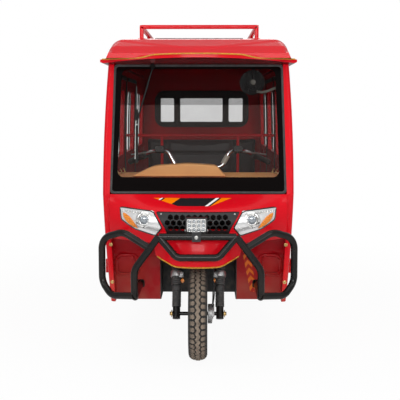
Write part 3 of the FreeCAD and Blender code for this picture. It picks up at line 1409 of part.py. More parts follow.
# Passenger bench between and over the wheel housings.
bench_half = house_inner - d.fit_gap
pad_half = d.side_low_x - d.bench_side
bench = new_body("bench_box")
bench_front = behind(d.rear_face - d.bench_depth)
bench_rear = behind(d.rear_face - d.wall - d.fit_gap)
pad(bench, "XY", [rectangle(-bench_half, bench_half, bench_front, bench_rear)], base_low,
    d.bench_height)
pocket(bench, "XY", [rectangle(-bench_half + skin, bench_half - skin, bench_front + skin,
                               bench_rear - skin)],
       base_low - 1, d.bench_height - skin)
keep(bench, "bench_box")
bench_pad = new_body("bench_pad")
pad(bench_pad, "XY", [rectangle(-pad_half, pad_half, bench_front - d.bench_lap,
                                behind(d.rear_face - d.bench_rest - 5), d.cushion_round)],
    d.bench_height + d.fit_gap, d.bench_height + d.bench_thick)
keep(bench_pad, "bench_seat")
bench_rest = new_body("bench_rest")
pad(bench_rest, "XZ", [rectangle(-pad_half, pad_half, d.bench_height + d.bench_thick + 10,
                                 d.rear_window_low - d.bench_rest_drop, d.cushion_round)],
    behind(d.rear_face - d.bench_rest), bench_rear)
keep(bench_rest, "bench_backrest")

# Wheels: built about their own axle, then moved to it.
def tyre_body(name):
    body = new_body(name)
    half = d.tyre_width / 2
    bead = half - d.flange_inset - d.fit_gap
    foot = d.rim_radius + d.fit_gap
    turn(body, [[
        (-bead, foot), (bead, foot), (bead, foot + d.flange_height),
        (half, d.rim_radius + d.bulge_height, d.bulge_round),
        (half, d.wheel_radius, d.tread_round), (-half, d.wheel_radius, d.tread_round),
        (-half, d.rim_radius + d.bulge_height, d.bulge_round),
        (-bead, foot + d.flange_height)]])
    return body


def rim_body(name, bore_radius, hub_out, hub_in):
    body = new_body(name)
    flange = d.tyre_width / 2 - d.flange_inset
    inside = d.rim_radius - d.rim_skin
    disc = d.rim_skin
    turn(body, [[
        (-hub_in, bore_radius), (hub_out, bore_radius), (hub_out, d.hub_radius),
        (disc, d.hub_radius + disc), (disc, inside), (flange + d.flange_skin, inside),
        (flange + d.flange_skin, d.rim_radius + d.flange_height),
        (flange, d.rim_radius + d.flange_height), (flange, d.rim_radius), (-flange, d.rim_radius),
        (-flange, d.rim_radius + d.flange_height),
        (-flange - d.flange_skin, d.rim_radius + d.flange_height),
        (-flange - d.flange_skin, inside), (0, inside), (0, d.hub_radius + disc),
        (-hub_in, d.hub_radius)]])
    return body


def set_on_axle(body, x, distance):
    bind(body, ".Placement.Base.x", x)
    bind(body, ".Placement.Base.y", behind(distance))
    bind(body, ".Placement.Base.z", d.wheel_radius)


# name, place across, distance behind the guard, bore, reach of the hub to +X and to -X
WHEELS = [
    ("front", ZERO, d.front_axle, d.axle_radius + d.fit_gap, d.hub_long, d.hub_long),
    ("rear_left", d.rear_track / 2, d.rear_axle, d.spindle_radius + d.fit_gap, d.hub_short,
     d.hub_long),
    ("rear_right", -d.rear_track / 2, d.rear_axle, d.spindle_radius + d.fit_gap, d.hub_long,
     d.hub_short),
]
for word, x, distance, bore_radius, hub_out, hub_in in WHEELS:
    tyre = tyre_body(f"tyre_{word}")
    set_on_axle(tyre, x, distance)
    keep(tyre, f"{word}_tyre")
    rim = rim_body(f"rim_{word}", bore_radius, hub_out, hub_in)
    set_on_axle(rim, x, distance)
    keep(rim, f"{word}_rim")

# Rear axle with its motor, drum covers and spindles.
rear_hub = spot(0, d.rear_axle, d.wheel_radius)
cover_x = float(d.rear_track) / 2 - float(d.tyre_width) / 2 - 6


def across(radius, x0, x1, centre=rear_hub):
    return rod(radius, x1 - x0, centre + V(x0, 0, 0), V(1, 0, 0))


axle_parts = [
    across(30, -cover_x, cover_x), across(78, -70, 110),
    across(66, -120, 60, rear_hub + V(0, -118, 0)),
    across(d.spindle_radius, -cover_x - 75, cover_x + 75)]
for word, side in SIDES:
    axle_parts.append(across(85, *sorted((side * cover_x, side * (cover_x - 28)))))
keep(fuse(axle_parts), "rear_axle")

# Leaf springs under the axle, hung from the rails.
springs = []
for word, side in SIDES:
    middle = d.rail_half * side
    spring = new_body(f"leaf_{word}")
    axle_low = d.wheel_radius - 30 - d.fit_gap
    reach = behind(d.rear_axle)
    for row, (half, drop) in enumerate(((300, 0), (220, 8), (140, 16))):
        ends = axle_low + 8 - drop + (half / 300) ** 2 * 30
        pad(spring, "YZ", [[
            (reach - half, ends), (reach - 60, axle_low - drop), (reach + 60, axle_low - drop),
            (reach + half, ends), (reach + half, ends - 8), (reach + 60, axle_low - drop - 8),
            (reach - 60, axle_low - drop - 8), (reach - half, ends - 8)]],
            middle - 25, middle + 25)
    for way in (-1, 1):
        pad(spring, "YZ", [rectangle(reach + way * 290 - 14, reach + way * 290 + 14,
                                     axle_low + 20, d.ground_to_sill - d.fit_gap)],
            middle - 20, middle + 20)
    springs.append(spring)
keep(group(springs), "leaf_springs")

# Steered fork with its crown, stem and axle bolt.
def steer_box(x0, x1, back0, back1, up0, up1):
    """A block in the steering frame, measured from the hub across, back and up the fork."""
    piece = box(x0, x1, 0, back1 - back0, 0, up1 - up0)
    piece.setExpression(".Placement.Base.x", None)
    piece.setExpression(".Placement.Base.y", None)
    piece.setExpression(".Placement.Base.z", None)
    corner = front_hub + V(float(x0), 0, 0) + axis_back * back0 + axis_up * up0
    piece.Placement = FreeCAD.Placement(
        corner, FreeCAD.Rotation(V(1, 0, 0), -float(d.rake_angle)))
    return piece


crown = float(d.crown_height)
crown_top = crown + float(d.crown_thick) / 2
crown_half = float(d.fork_half_width) + float(d.fork_boot_radius) + 4
axle_half = float(d.axle_half)
stem_end = (float(d.bar_height) - axis_foot.z) / axis_up.z
fork_parts = [
    rod(d.axle_radius, 2 * axle_half, front_hub - V(axle_half, 0, 0), V(1, 0, 0)),
    steer_box(-crown_half, crown_half, -31, 63, crown - float(d.crown_thick) / 2, crown_top),
    rod(d.stem_radius, stem_end - crown, on_axis(crown), axis_up),
    rod(26, float(d.head_start) - 0.4 - crown, on_axis(crown), axis_up),
    rod(24, 22, on_axis(float(d.head_start) + float(d.head_length) + 0.4), axis_up),
]
for word, side in SIDES:
    foot = front_hub + V(side * float(d.fork_half_width), 0, 0)
    fork_parts.append(rod(d.fork_leg_radius, 200, foot - axis_up * 28, axis_up))
    fork_parts.append(rod(d.fork_boot_radius, crown - 150, foot + axis_up * 150, axis_up))
keep(fuse(fork_parts), "fork")
plate_in = float(d.tyre_width) / 2 + 6
brake = rod(51, 18, front_hub + V(plate_in, 0, 0), V(1, 0, 0))
brake_bore = rod(float(d.axle_radius) + 0.3, 40, front_hub + V(plate_in - 5, 0, 0), V(1, 0, 0))
keep(cut(brake, [brake_bore]), "brake_plate")

# Handlebar: bent tube in a clamp on the stem, with a rubber grip at each end.
clamp = on_axis(stem_end + 14)
# across, back and up from the clamp
BAR = [(404, 182, 17), (265, 47, 85), (176, 12, 90), (128, 0, 0)]
left_run = [clamp + V(x, back, rise) for x, back, rise in BAR]
right_run = [clamp + V(-x, back, rise) for x, back, rise in BAR[::-1]]
bar_shape = tube(left_run + right_run, (60, 32, 32, 32, 32, 60), float(d.bar_radius))
clamp_block = Part.makeBox(60, 30, 28, V(-30, -15, -13.5))
clamp_block.Placement = FreeCAD.Placement(
    clamp, FreeCAD.Rotation(V(1, 0, 0), -float(d.rake_angle)))
keep(made(joined([bar_shape, clamp_block]), "bar"), "handlebar")
grips = []
for word, side in SIDES:
    end, inner = [clamp + V(x * side, back, rise) for x, back, rise in BAR[:2]]
    along = (inner - end).normalize()
    grip_length = float(d.grip_length)
    grip = Part.makeCylinder(float(d.grip_radius), grip_length, end - along * 4, along)
    housing = Part.makeCylinder(float(d.grip_radius) + 6, 34, end + along * (grip_length - 4), along)
    hole = Part.makeCylinder(float(d.bar_radius) + 0.3, 148, end, along)
    grips.append(grip.fuse(housing).cut(hole).removeSplitter())
keep(made(Part.makeCompound(grips), "grip_pair"), "handlebar_grips")

# Wiper on the outside of the glass, and the fan in the cab's upper corner.
def on_glass(x, v, ahead):
    return lean_place.multVec(V(x, -ahead, v))


wiper_x, arm_x, blade_x = -245, -323, -332
arm_foot, blade_foot, blade_length = 375, 165, 290
wiper_shapes = [
    tube([on_glass(wiper_x, top_v - 14, 9), on_glass(arm_x, arm_foot + 25, 11),
          on_glass(arm_x - 3, arm_foot, 11)], (20,), 5),
    Part.makeCylinder(14, 16 - float(d.fit_gap), on_glass(wiper_x, top_v - 14, 16),
                      lean_place.Rotation.multVec(V(0, 1, 0))),
]
glass_front = float(d.seal_depth - d.glass) / 2
blade = Part.makeBox(12, 10 + glass_front - float(d.fit_gap), blade_length,
                     V(blade_x, -10, blade_foot))
blade.Placement = lean_place
wiper_shapes.append(blade)
keep(made(joined(wiper_shapes), "wiper_arm"), "wiper")

fan_x = d.side_top_x - d.fan_inset
fan_centre = spot(fan_x, d.front_top + d.fan_setback, d.wall_top - d.fan_drop)
stalk_back = d.front_top + 40
fan_shapes = [
    Part.makeCylinder(float(d.fan_radius), 40, fan_centre, V(0, 1, 0)),
    Part.makeCylinder(26, 40, fan_centre - V(0, 38, 0), V(0, 1, 0)),
    tube([fan_centre - V(0, 20, 0), spot(fan_x, stalk_back, d.wall_top - 60),
          spot(fan_x, stalk_back, d.wall_top)], (24,), 6),
]
keep(made(joined(fan_shapes), "fan_body"), "cab_fan")

doc.recompute()
failed = []
for thing in doc.Objects:
    if "Invalid" in thing.State or "Error" in thing.State:
        failed.append(thing.Name)
for piece in nodes:
    if piece.Shape.isNull() or not piece.Shape.isValid():
        failed.append(piece.Label)
    else:
        print(piece.Label, round(piece.Shape.Volume / 1e6, 3), len(piece.Shape.Solids))
if failed:
    raise SystemExit(f"these did not come out: {failed}")

os.makedirs("parts", exist_ok=True)
for piece in nodes:
    piece.Shape.exportStep(f"parts/{piece.Label}.step")
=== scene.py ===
import math

import bmesh
import bpy
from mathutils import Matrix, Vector
from mathutils.bvhtree import BVHTree


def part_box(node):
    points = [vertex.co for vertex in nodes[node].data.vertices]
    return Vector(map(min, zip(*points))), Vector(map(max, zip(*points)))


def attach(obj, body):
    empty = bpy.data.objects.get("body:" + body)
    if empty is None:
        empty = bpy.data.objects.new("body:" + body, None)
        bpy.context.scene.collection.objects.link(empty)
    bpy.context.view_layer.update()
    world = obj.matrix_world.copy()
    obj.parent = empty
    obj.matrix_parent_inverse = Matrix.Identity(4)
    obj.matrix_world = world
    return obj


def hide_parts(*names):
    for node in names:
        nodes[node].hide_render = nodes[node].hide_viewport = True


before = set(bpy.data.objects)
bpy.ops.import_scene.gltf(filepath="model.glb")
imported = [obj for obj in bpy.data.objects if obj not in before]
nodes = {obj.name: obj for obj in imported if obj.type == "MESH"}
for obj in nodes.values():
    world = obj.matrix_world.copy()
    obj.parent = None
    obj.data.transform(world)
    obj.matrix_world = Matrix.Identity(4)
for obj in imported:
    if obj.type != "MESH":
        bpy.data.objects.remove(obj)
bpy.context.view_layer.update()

# Camera and studio. The camera stands 4 m ahead of the front guard, a little to the left
# of the middle, and looks slightly down. The floor and the world show white to the camera.

CAMERA_LEFT, CAMERA_AHEAD, CAMERA_HEIGHT = 0.050, 4.0, 1.327
DEGREES_DOWN, DEGREES_LEFT = 6.40, 0.54
guard_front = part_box("bumper_guard")[0].y
camera_data = bpy.data.cameras.new("camera")
camera_data.sensor_width = 36
camera_data.lens = 73.8
camera = bpy.data.objects.new("camera", camera_data)
camera.location = (CAMERA_LEFT, guard_front - CAMERA_AHEAD, CAMERA_HEIGHT)
camera.rotation_euler = (math.radians(90 - DEGREES_DOWN), 0, math.radians(DEGREES_LEFT))
bpy.context.scene.collection.objects.link(camera)
bpy.context.scene.camera = camera
bpy.context.scene.view_settings.view_transform = "Standard"


def soft_lamp(name, place, aim, width, height, power):
    """A rectangular studio lamp that shines towards a point."""
    data = bpy.data.lights.new(name, "AREA")
    data.shape = "RECTANGLE"
    data.size, data.size_y = width, height
    data.energy = power
    lamp = bpy.data.objects.new(name, data)
    lamp.location = place
    lamp.rotation_euler = (Vector(aim) - Vector(place)).to_track_quat("-Z", "Y").to_euler()
    bpy.context.scene.collection.objects.link(lamp)


soft_lamp("overhead", (0, -1.6, 4.4), (0, 0, 0.6), 4.0, 5.0, 62)
soft_lamp("front_left", (3.4, -4.6, 2.6), (0, -1.0, 0.9), 1.6, 2.6, 36)
soft_lamp("front_right", (-3.4, -4.6, 2.6), (0, -1.0, 0.9), 1.6, 2.6, 36)
soft_lamp("front", (0, -6.4, 2.3), (0, -0.6, 1.1), 2.4, 1.2, 92)
soft_lamp("behind", (0, 5.0, 3.4), (0, 1.0, 0.8), 3.0, 2.0, 45)


class Wire:
    """A value or a colour in a material. Arithmetic on it adds Math nodes."""

    def __init__(self, finish, socket):
        self.finish = finish
        self.socket = socket

    def maths(self, operation, *values):
        sockets = dict(enumerate(values))
        return self.finish.node("Math", {"operation": operation}, sockets)

    def __add__(self, other):
        return self.maths("ADD", self, other)

    __radd__ = __add__

    def __mul__(self, other):
        return self.maths("MULTIPLY", self, other)

    __rmul__ = __mul__

    def __sub__(self, other):
        return self.maths("SUBTRACT", self, other)

    def __rsub__(self, other):
        return self.maths("SUBTRACT", other, self)

    def __truediv__(self, other):
        return self.maths("DIVIDE", self, other)

    def __abs__(self):
        return self.maths("ABSOLUTE", self)

    def __gt__(self, other):
        return self.maths("GREATER_THAN", self, other)

    def __lt__(self, other):
        return self.maths("LESS_THAN", self, other)

    def most(self, other):
        return self.maths("MAXIMUM", self, other)

    def least(self, other):
        return self.maths("MINIMUM", self, other)

    def root(self):
        return self.maths("SQRT", self)

    def repeat(self, length):
        """The remainder, between 0 and length, also below zero."""
        return self.maths("FLOORED_MODULO", self, length)

    def ramp(self, low, high):
        """0 below low and 1 above high, with a straight run between."""
        settings = {"clamp": True}
        sockets = {"Value": self, "From Min": low, "From Max": high}
        return self.finish.node("MapRange", settings, sockets)


class Finish:
    """A material of the vehicle, with the record's slot that it belongs to."""

    def __init__(self, name, slot, **surface):
        self.slot = slot
        self.material = bpy.data.materials.new(name)
        self.material.use_nodes = True
        self.tree = self.material.node_tree
        self.surface = self.tree.nodes["Principled BSDF"]
        self.output = self.tree.nodes["Material Output"]
        for key, value in surface.items():
            name = key.replace("_", " ").title()
            self.set(name.replace("Specular", "Specular IOR Level"), value)

    def feed(self, socket, value):
        if isinstance(value, Wire):
            self.tree.links.new(value.socket, socket)
        elif isinstance(value, tuple) and len(value) == 3 and socket.type == "RGBA":
            socket.default_value = (*value, 1)
        else:
            socket.default_value = value

    def set(self, name, value):
        """A socket of the surface: a number, a colour or a wire."""
        self.feed(self.surface.inputs[name], value)
        return self

    def node(self, kind, settings, sockets, out=0):
        """Any other node: its settings first, then the values or wires of its sockets."""
        node = self.tree.nodes.new("ShaderNode" + kind)
        for name, value in settings.items():
            setattr(node, name, value)
        for name, value in sockets.items():
            self.feed(node.inputs[name], value)
        return Wire(self, node.outputs[out])

    def place(self):
        """Where a point lies on the vehicle at rest, in metres."""
        return self.node("TexCoord", {}, {}, "Object")

    def axes(self):
        """The same, as three values."""
        here = self.place()
        return [self.node("SeparateXYZ", {}, {0: here}, out) for out in range(3)]

    def noise(self, scale, detail=2.0, stretch=(1, 1, 1)):
        """Cloudy values round 0.5, drawn out along an axis by a small number in stretch."""
        here = self.node("VectorMath", {"operation": "MULTIPLY"}, {0: self.place(), 1: stretch})
        return self.node("TexNoise", {}, {"Vector": here, "Scale": scale, "Detail": detail})

    def cells(self, scale):
        """Small cells, as in a leather grain or a ribbed lens."""
        return self.node("TexVoronoi", {}, {"Vector": self.place(), "Scale": scale})

    def mix(self, factor, first, second):
        """A colour between two."""
        settings = {"data_type": "RGBA"}
        return self.node("Mix", settings, {0: factor, 6: first, 7: second}, 2)

    def clouded(self, scale, detail, low, high, first, second, share=1):
        """A base colour that drifts between two, as its noise goes from low to high."""
        drift = self.noise(scale, detail).ramp(low, high) * share
        return self.set("Base Color", self.mix(drift, first, second))

    def printed(self, mask, colour):
        """Another colour over the base colour, where the mask is 1."""
        painted = Wire(self, self.surface.inputs["Base Color"].links[0].from_socket)
        return self.set("Base Color", self.mix(mask, painted, colour))

    def bump(self, height, strength, distance):
        """Relief of the surface."""
        sockets = {"Height": height, "Strength": strength, "Distance": distance}
        return self.set("Normal", self.node("Bump", {}, sockets))

    def onto(self, *names):
        """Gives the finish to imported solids."""
        for name in names:
            for held in nodes[name].material_slots:
                held.material = self.material


floor_finish = Finish("studio_floor", None, base_color=(0.88, 0.88, 0.88), roughness=0.6)
floor_mesh = bpy.data.meshes.new("studio_floor")
FLOOR_REACH = 30
floor_mesh.from_pydata(
    [(x * FLOOR_REACH, y * FLOOR_REACH, 0) for x, y in ((-1, -1), (1, -1), (1, 1), (-1, 1))],
    [], [(0, 1, 2, 3)])
floor = bpy.data.objects.new("studio_floor", floor_mesh)
floor_mesh.materials.append(floor_finish.material)
bpy.context.scene.collection.objects.link(floor)
lit = Wire(floor_finish, floor_finish.surface.outputs[0])
seen = floor_finish.node("LightPath", {}, {}, "Is Camera Ray")
glow = floor_finish.node("Emission", {}, {"Color": (1, 1, 1), "Strength": 1.0})
east, north, _ = floor_finish.axes()
away = (east * east + north * north).root().ramp(1.3, 3.2)
white = floor_finish.node("MixShader", {}, {0: seen * (0.94 + away * 0.06),
                                            1: lit, 2: glow})
floor_finish.feed(floor_finish.output.inputs["Surface"], white)

world = bpy.data.worlds.new("studio")
world.use_nodes = True
bpy.context.scene.world = world
sky = world.node_tree.nodes["Background"]
path, look, level = [world.node_tree.nodes.new("ShaderNode" + kind)
                     for kind in ("LightPath", "Math", "MapRange")]
look.operation = "MAXIMUM"
level.inputs["To Min"].default_value = 0.5
for start, end in ((path.outputs["Is Camera Ray"], look.inputs[0]),
                   (path.outputs["Is Transmission Ray"], look.inputs[1]),
                   (look.outputs[0], level.inputs["Value"]),
                   (level.outputs[0], sky.inputs["Strength"])):
    world.node_tree.links.new(start, end)
sky.inputs["Color"].default_value = (1, 1, 1, 1)

# Body shell: pressed steel and moulded panels in glossy red paint under a clear coat. The
# paint has a slight ripple, and the lower panels are a little duller with road dust.

RED = (0.66, 0.004, 0.012)
DEEP_RED = (0.40, 0.003, 0.008)


def red_paint(name, dust, painted_shade_tone=1.0):
    """The red enamel; dust is how heavy the road dust lies low down, and the last argument
    darkens all of it as painted shade.
    """
    paint = Finish(name, "red_paint", base_color=RED, roughness=0.3, specular=0.10,
                   coat_weight=0.10, coat_roughness=0.05)
    height = paint.axes()[2]
    cloud = paint.noise(7, 3)
    dirt = (1 - height.ramp(0.28, 0.55)) * cloud.ramp(0.35, 0.7) * dust
    full, deep = [tuple(part * painted_shade_tone for part in colour) for colour in (RED, DEEP_RED)]
    shade = paint.mix(paint.noise(2.5).ramp(0.35, 0.65) * 0.25, full, deep)
    paint.set("Base Color", paint.mix(dirt, shade, (0.33, 0.16, 0.10)))
    paint.set("Roughness", 0.26 + dirt * 0.4)
    paint.bump(paint.noise(260, 1), 0.05, 0.0004)
    return paint


shell_paint = red_paint("red_shell_paint", dust=0.35)
shell_paint.onto(
    "side_wall_left", "side_wall_right", "corner_panel_left", "corner_panel_right",
    "front_door_left", "front_door_right", "rear_door_left", "rear_door_right", "rear_wall",
    "partition_rail")
# The leg shields' red is darkened to 0.55 of the full red as painted shade, and their dust is
# heavier.
shield_paint = red_paint("red_leg_shield_paint", dust=0.45, painted_shade_tone=0.55)
shield_paint.onto("leg_shields")

# Chassis, floor and axle: welded steel in dull black paint with cloudy patches of brown dust.
# The seat boxes in the cab are folded from sheet and have the same paint.

under_paint = Finish("black_chassis_paint", "chassis_paint", roughness=0.55)
under_paint.clouded(30, 4, 0.45, 0.75, (0.012, 0.012, 0.012), (0.07, 0.06, 0.05))
under_paint.set("Roughness", 0.45 + under_paint.noise(30, 4) * 0.3)
under_paint.bump(under_paint.noise(180, 2), 0.25, 0.0006)
under_paint.onto("chassis_frame", "floor_pan", "wheel_housings", "wheel_well", "rear_axle",
                 "leaf_springs", "driver_seat_box", "bench_box")

# Guard, fork, bumper and wiper arm: bent and welded steel in glossy black enamel. A faint brown
# in cloudy patches is a painted reflection in its gloss.

guard_paint = Finish("black_enamel", "black_paint", roughness=0.2, specular=0.22,
                     coat_weight=0.06, coat_roughness=0.08)
# The brown patches in the base colour are a painted reflection.
guard_paint.clouded(14, 3, 0.4, 0.7, (0.005, 0.005, 0.005), (0.016, 0.011, 0.008), 0.6)
guard_paint.bump(guard_paint.noise(420, 1), 0.06, 0.0003)
guard_paint.onto("bumper_guard", "rear_bumper", "fork", "wiper")

# Battery: a heavy closed block in a moulded case. Nothing opens or shows it, so it stays
# plain.

case = Finish("battery_case_plastic", "battery_case", roughness=0.5)
case.clouded(20, 2, 0, 1, (0.05, 0.05, 0.06), (0.09, 0.09, 0.10))
case.onto("battery_block")

# Windows: tempered glass. The windshield has a printed black border with rounded corners
# and a dark sun band over its upper third.

# The side panes' pale grey-green at low opacity is partly the glass's green tint and partly a
# painted reflection of the studio.
clear_glass = Finish("side_glass", "clear_glass", base_color=(0.10, 0.115, 0.115),
                     roughness=0.03, specular=0.3)
smear = clear_glass.noise(5, 3).ramp(0.3, 0.8)
clear_glass.set("Alpha", 0.10 + smear * 0.04)
clear_glass.onto("front_door_glass_left", "front_door_glass_right", "rear_door_glass_left",
                 "rear_door_glass_right", "quarter_glass", "rear_window_glass")

shield_glass = Finish("windshield_glass", "clear_glass", roughness=0.03, specular=0.06)
clear_low, clear_high = 0.964, 1.535
clear_half_low, clear_half_high = 0.4285, 0.411
corner = 0.035
across, _, up = shield_glass.axes()
taper = (clear_half_low - clear_half_high) / (clear_high - clear_low)
half = clear_half_high + (clear_high - up) * taper
beside = abs(across) - half + corner
middle = (clear_low + clear_high) / 2
above = abs(up - middle) - (clear_high - clear_low) / 2 + corner
outside = ((beside.most(0) * beside.most(0) + above.most(0) * above.most(0)).root()
           + beside.most(above).least(0) - corner)
print_mask = outside.ramp(-0.001, 0.001)
band_foot = 1.343
band = up.ramp(band_foot - 0.002, band_foot + 0.002)
# The clear part's pale grey at 0.15 opacity is a painted reflection of the studio; the sun band's
# near-black at higher opacity is the glass's own tint.
reflection_veil_and_tint = 0.15 + band * 0.22
shield_glass.set("Alpha", reflection_veil_and_tint.most(print_mask))
shield_glass.set("Base Color", shield_glass.mix(print_mask.most(band), (0.065, 0.056, 0.052),
                                                (0.003, 0.002, 0.002)))
shield_glass.onto("windshield_glass")

# Rubber: extruded seals hold the windshield and the rear window, and are chalky along their
# length. The handlebar grips are moulded of the same rubber.

seal_rubber = Finish("black_seal_rubber", "black_rubber", roughness=0.6)
chalk = seal_rubber.noise(60, 3, (1, 1, 0.3))
seal_rubber.set("Base Color", seal_rubber.mix(chalk.ramp(0.4, 0.8), (0.009, 0.009, 0.009),
                                              (0.03, 0.03, 0.03)))
seal_rubber.bump(chalk, 0.2, 0.0008)
seal_rubber.onto("windshield_seal", "rear_window_frame", "handlebar_grips")

# Cowl: the same paint with a printed decal below the windshield, of orange and black fields
# with white strokes. The field between the strokes is left plain.

DECAL_LEFT, DECAL_WIDE, DECAL_TOP, DECAL_TALL = -0.234, 0.409, 0.861, 0.034
cowl_paint = red_paint("red_cowl_paint", dust=0.35)
x, _, z = cowl_paint.axes()
along = (x - DECAL_LEFT) / DECAL_WIDE
down = (DECAL_TOP - z) / DECAL_TALL
field = (along > down * 0.32) * (along < 1 - down * 0.27) * (down > 0) * (down < 1)
stroke = along + down * 0.143
black_field = (stroke > 0.345) * (stroke < 0.87)
white_stroke = ((stroke > 0.80) * (stroke < 0.84)).most((stroke > 0.10) * (stroke < 0.128))
black_stroke = (stroke > 0.128) * (stroke < 0.155)
decal = cowl_paint.mix(black_field.most(black_stroke), (0.95, 0.22, 0.0),
                       (0.015, 0.014, 0.016))
decal = cowl_paint.mix(white_stroke, decal, (0.85, 0.85, 0.85))
cowl_paint.printed(field, decal)
cowl_paint.onto("front_cowl")

# Leg shields: moulded red panels with a raised frame on each, outside the stays. The left one
# has a reflective chevron tape beside the wheel well. The dust is heavier here, and the red is
# darkened as painted shade.

ACROSS, BACK, UP, AHEAD = (1, 0, 0), (0, 1, 0), (0, 0, 1), (0, -1, 0)
SIDES = (("left", 1), ("right", -1))
# Places well clear of the vehicle, where the lines that look for its surfaces start.
IN_FRONT, BEHIND, OVERHEAD, BESIDE = guard_front - 0.5, 2.0, 2.0, 0.8
x, _, z = shield_paint.axes()
slant = abs(x - 0.262 - (0.53 - z) * 0.2)
tape = (slant < 0.019) * (z > 0.325) * (z < 0.535)
tooth = (slant * 1.2 + z).repeat(0.044) < 0.022
shield_paint.printed(tape * 0.9, shield_paint.mix(tooth, (0.42, 0.02, 0.01),
                                                  (0.72, 0.16, 0.015)))


class Form:
    """One mesh piece of the vehicle, skinned over rings of points."""

    def __init__(self, name):
        self.name = name
        self.points = []
        self.faces = []

    def skin(self, rings, around=False, ends=True):
        """Faces between neighbouring rings; around joins the last ring to the first."""
        first, count, total = len(self.points), len(rings[0]), len(rings)
        for ring in rings:
            self.points.extend(tuple(point) for point in ring)
        for row in range(total if around else total - 1):
            here, there = first + row * count, first + (row + 1) % total * count
            for step in range(count):
                after = (step + 1) % count
                self.faces.append((here + step, here + after, there + after, there + step))
        if ends and not around:
            last = first + (total - 1) * count
            self.faces.append(tuple(range(first + count - 1, first - 1, -1)))
            self.faces.append(tuple(range(last, last + count)))
        return self

    def turned(self, profile, centre, axis, steps=32, around=False):
        """A turned shape; the profile has pairs of radius and place along the axis."""
        axis = Vector(axis).normalized()
        across = axis.orthogonal().normalized()
        up = axis.cross(across)
        turns = [2 * math.pi * step / steps for step in range(steps)]
        spokes = [across * math.cos(turn) + up * math.sin(turn) for turn in turns]
        rings = [[Vector(centre) + axis * along + spoke * radius for spoke in spokes]
                 for radius, along in profile]
        return self.skin(rings, around)

    def swept(self, line, section, upward=(0, 0, 1), closed=False):
        """A section, in pairs across and up, carried along a line of points."""
        line = [Vector(point) for point in line]
        up = Vector(upward)
        rings = []
        for index, point in enumerate(line):
            before = line[index - 1] if index or closed else point
            after = line[(index + 1) % len(line)] if index + 1 < len(line) or closed else point
            ahead = (after - before).normalized()
            up = (up - ahead * up.dot(ahead)).normalized()
            across = ahead.cross(up)
            rings.append([point + across * x + up * y for x, y in section])
        return self.skin(rings, closed)

    def plate(self, outline, centre, across, up, thick, edge=0.001):
        """A plate with both edges softened, raised from its outline's plane."""
        across, up = Vector(across), Vector(up)
        out = across.cross(up)
        small = drawn_in(outline, edge)
        levels = [(small, 0), (outline, edge), (outline, thick - edge), (small, thick)]
        return self.skin([[Vector(centre) + across * x + up * y + out * level for x, y in row]
                          for row, level in levels])

    def build(self, body, finish, replaced=(), sharp=38):
        mesh = bpy.data.meshes.new(self.name)
        mesh.from_pydata(self.points, [], self.faces)
        shell = bmesh.new()
        shell.from_mesh(mesh)
        bmesh.ops.recalc_face_normals(shell, faces=shell.faces)
        shell.to_mesh(mesh)
        shell.free()
        mesh.polygons.foreach_set("use_smooth", [True] * len(mesh.polygons))
        mesh.set_sharp_from_angle(angle=math.radians(sharp))
        mesh.materials.append(finish.material)
        piece = bpy.data.objects.new(self.name, mesh)
        bpy.context.scene.collection.objects.link(piece)
        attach(piece, body)
        if replaced:
            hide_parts(*replaced)
        return piece


def drawn_in(outline, amount):
    """The same outline with its sides moved inward."""
    count = len(outline)
    turning = sum(outline[i][0] * outline[(i + 1) % count][1]
                  - outline[(i + 1) % count][0] * outline[i][1] for i in range(count))
    side = 1 if turning > 0 else -1
    inner = []
    for index in range(count):
        point = Vector(outline[index])
        one = (point - Vector(outline[index - 1])).normalized()
        two = (Vector(outline[(index + 1) % count]) - point).normalized()
        one, two = Vector((-one.y, one.x)) * side, Vector((-two.y, two.x)) * side
        inner.append(tuple(point + (one + two) * amount / max(0.4, 1 + one.dot(two))))
    return inner


def ring_of(radius, sides=10, flat=1.0):
    """A round or flattened section."""
    turns = [2 * math.pi * side / sides for side in range(sides)]
    return [(radius * math.cos(turn), radius * flat * math.sin(turn)) for turn in turns]


def box_of(wide, tall, corner, steps=3):
    """A rectangle about the middle with round corners."""
    corner = min(corner, wide / 2 - 0.0001, tall / 2 - 0.0001)
    points = []
    for quarter, (side, rise) in enumerate([(1, -1), (1, 1), (-1, 1), (-1, -1)]):
        for step in range(steps + 1):
            turn = math.pi / 2 * (quarter - 1 + step / steps)
            points.append((side * (wide / 2 - corner) + corner * math.cos(turn),
                           rise * (tall / 2 - corner) + corner * math.sin(turn)))
    return points


trees = {}


def reach(node, start, direction):
    """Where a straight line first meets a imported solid, or None."""
    if node not in trees:
        mesh = nodes[node].data
        trees[node] = BVHTree.FromPolygons([vertex.co for vertex in mesh.vertices],
                                           [face.vertices for face in mesh.polygons])
    return trees[node].ray_cast(Vector(start), Vector(direction))[0]


def from_front(node, x, z):
    """The point of a solid that shows at a place in the front view."""
    return reach(node, (x, IN_FRONT, z), BACK)


for word, side in SIDES:
    middle_x, middle_z = 0.388, 0.476
    loop = [from_front("leg_shields", (middle_x + x) * side, middle_z + z)
            for x, z in box_of(0.118, 0.112, 0.034, 8)]
    raised = Form("leg_shield_frame_" + word).swept(loop, ring_of(0.009, 12, 0.75), BACK, True)
    raised.build("body", shield_paint)

# Roof: one moulding in the same red, with a shallow crease in the shape of a V pressed in its
# front slope. Its underside is painted a darker red as painted shade, and a black rubber strip
# seals the joint at the crest, behind the slope.

roof_paint = red_paint("red_roof_paint", dust=0.0)
x, _, z = roof_paint.axes()
crease = (z - 1.636 - abs(x) * 0.13).ramp(-0.007, 0.007)
roof_paint.bump(crease, 0.9, 0.006)
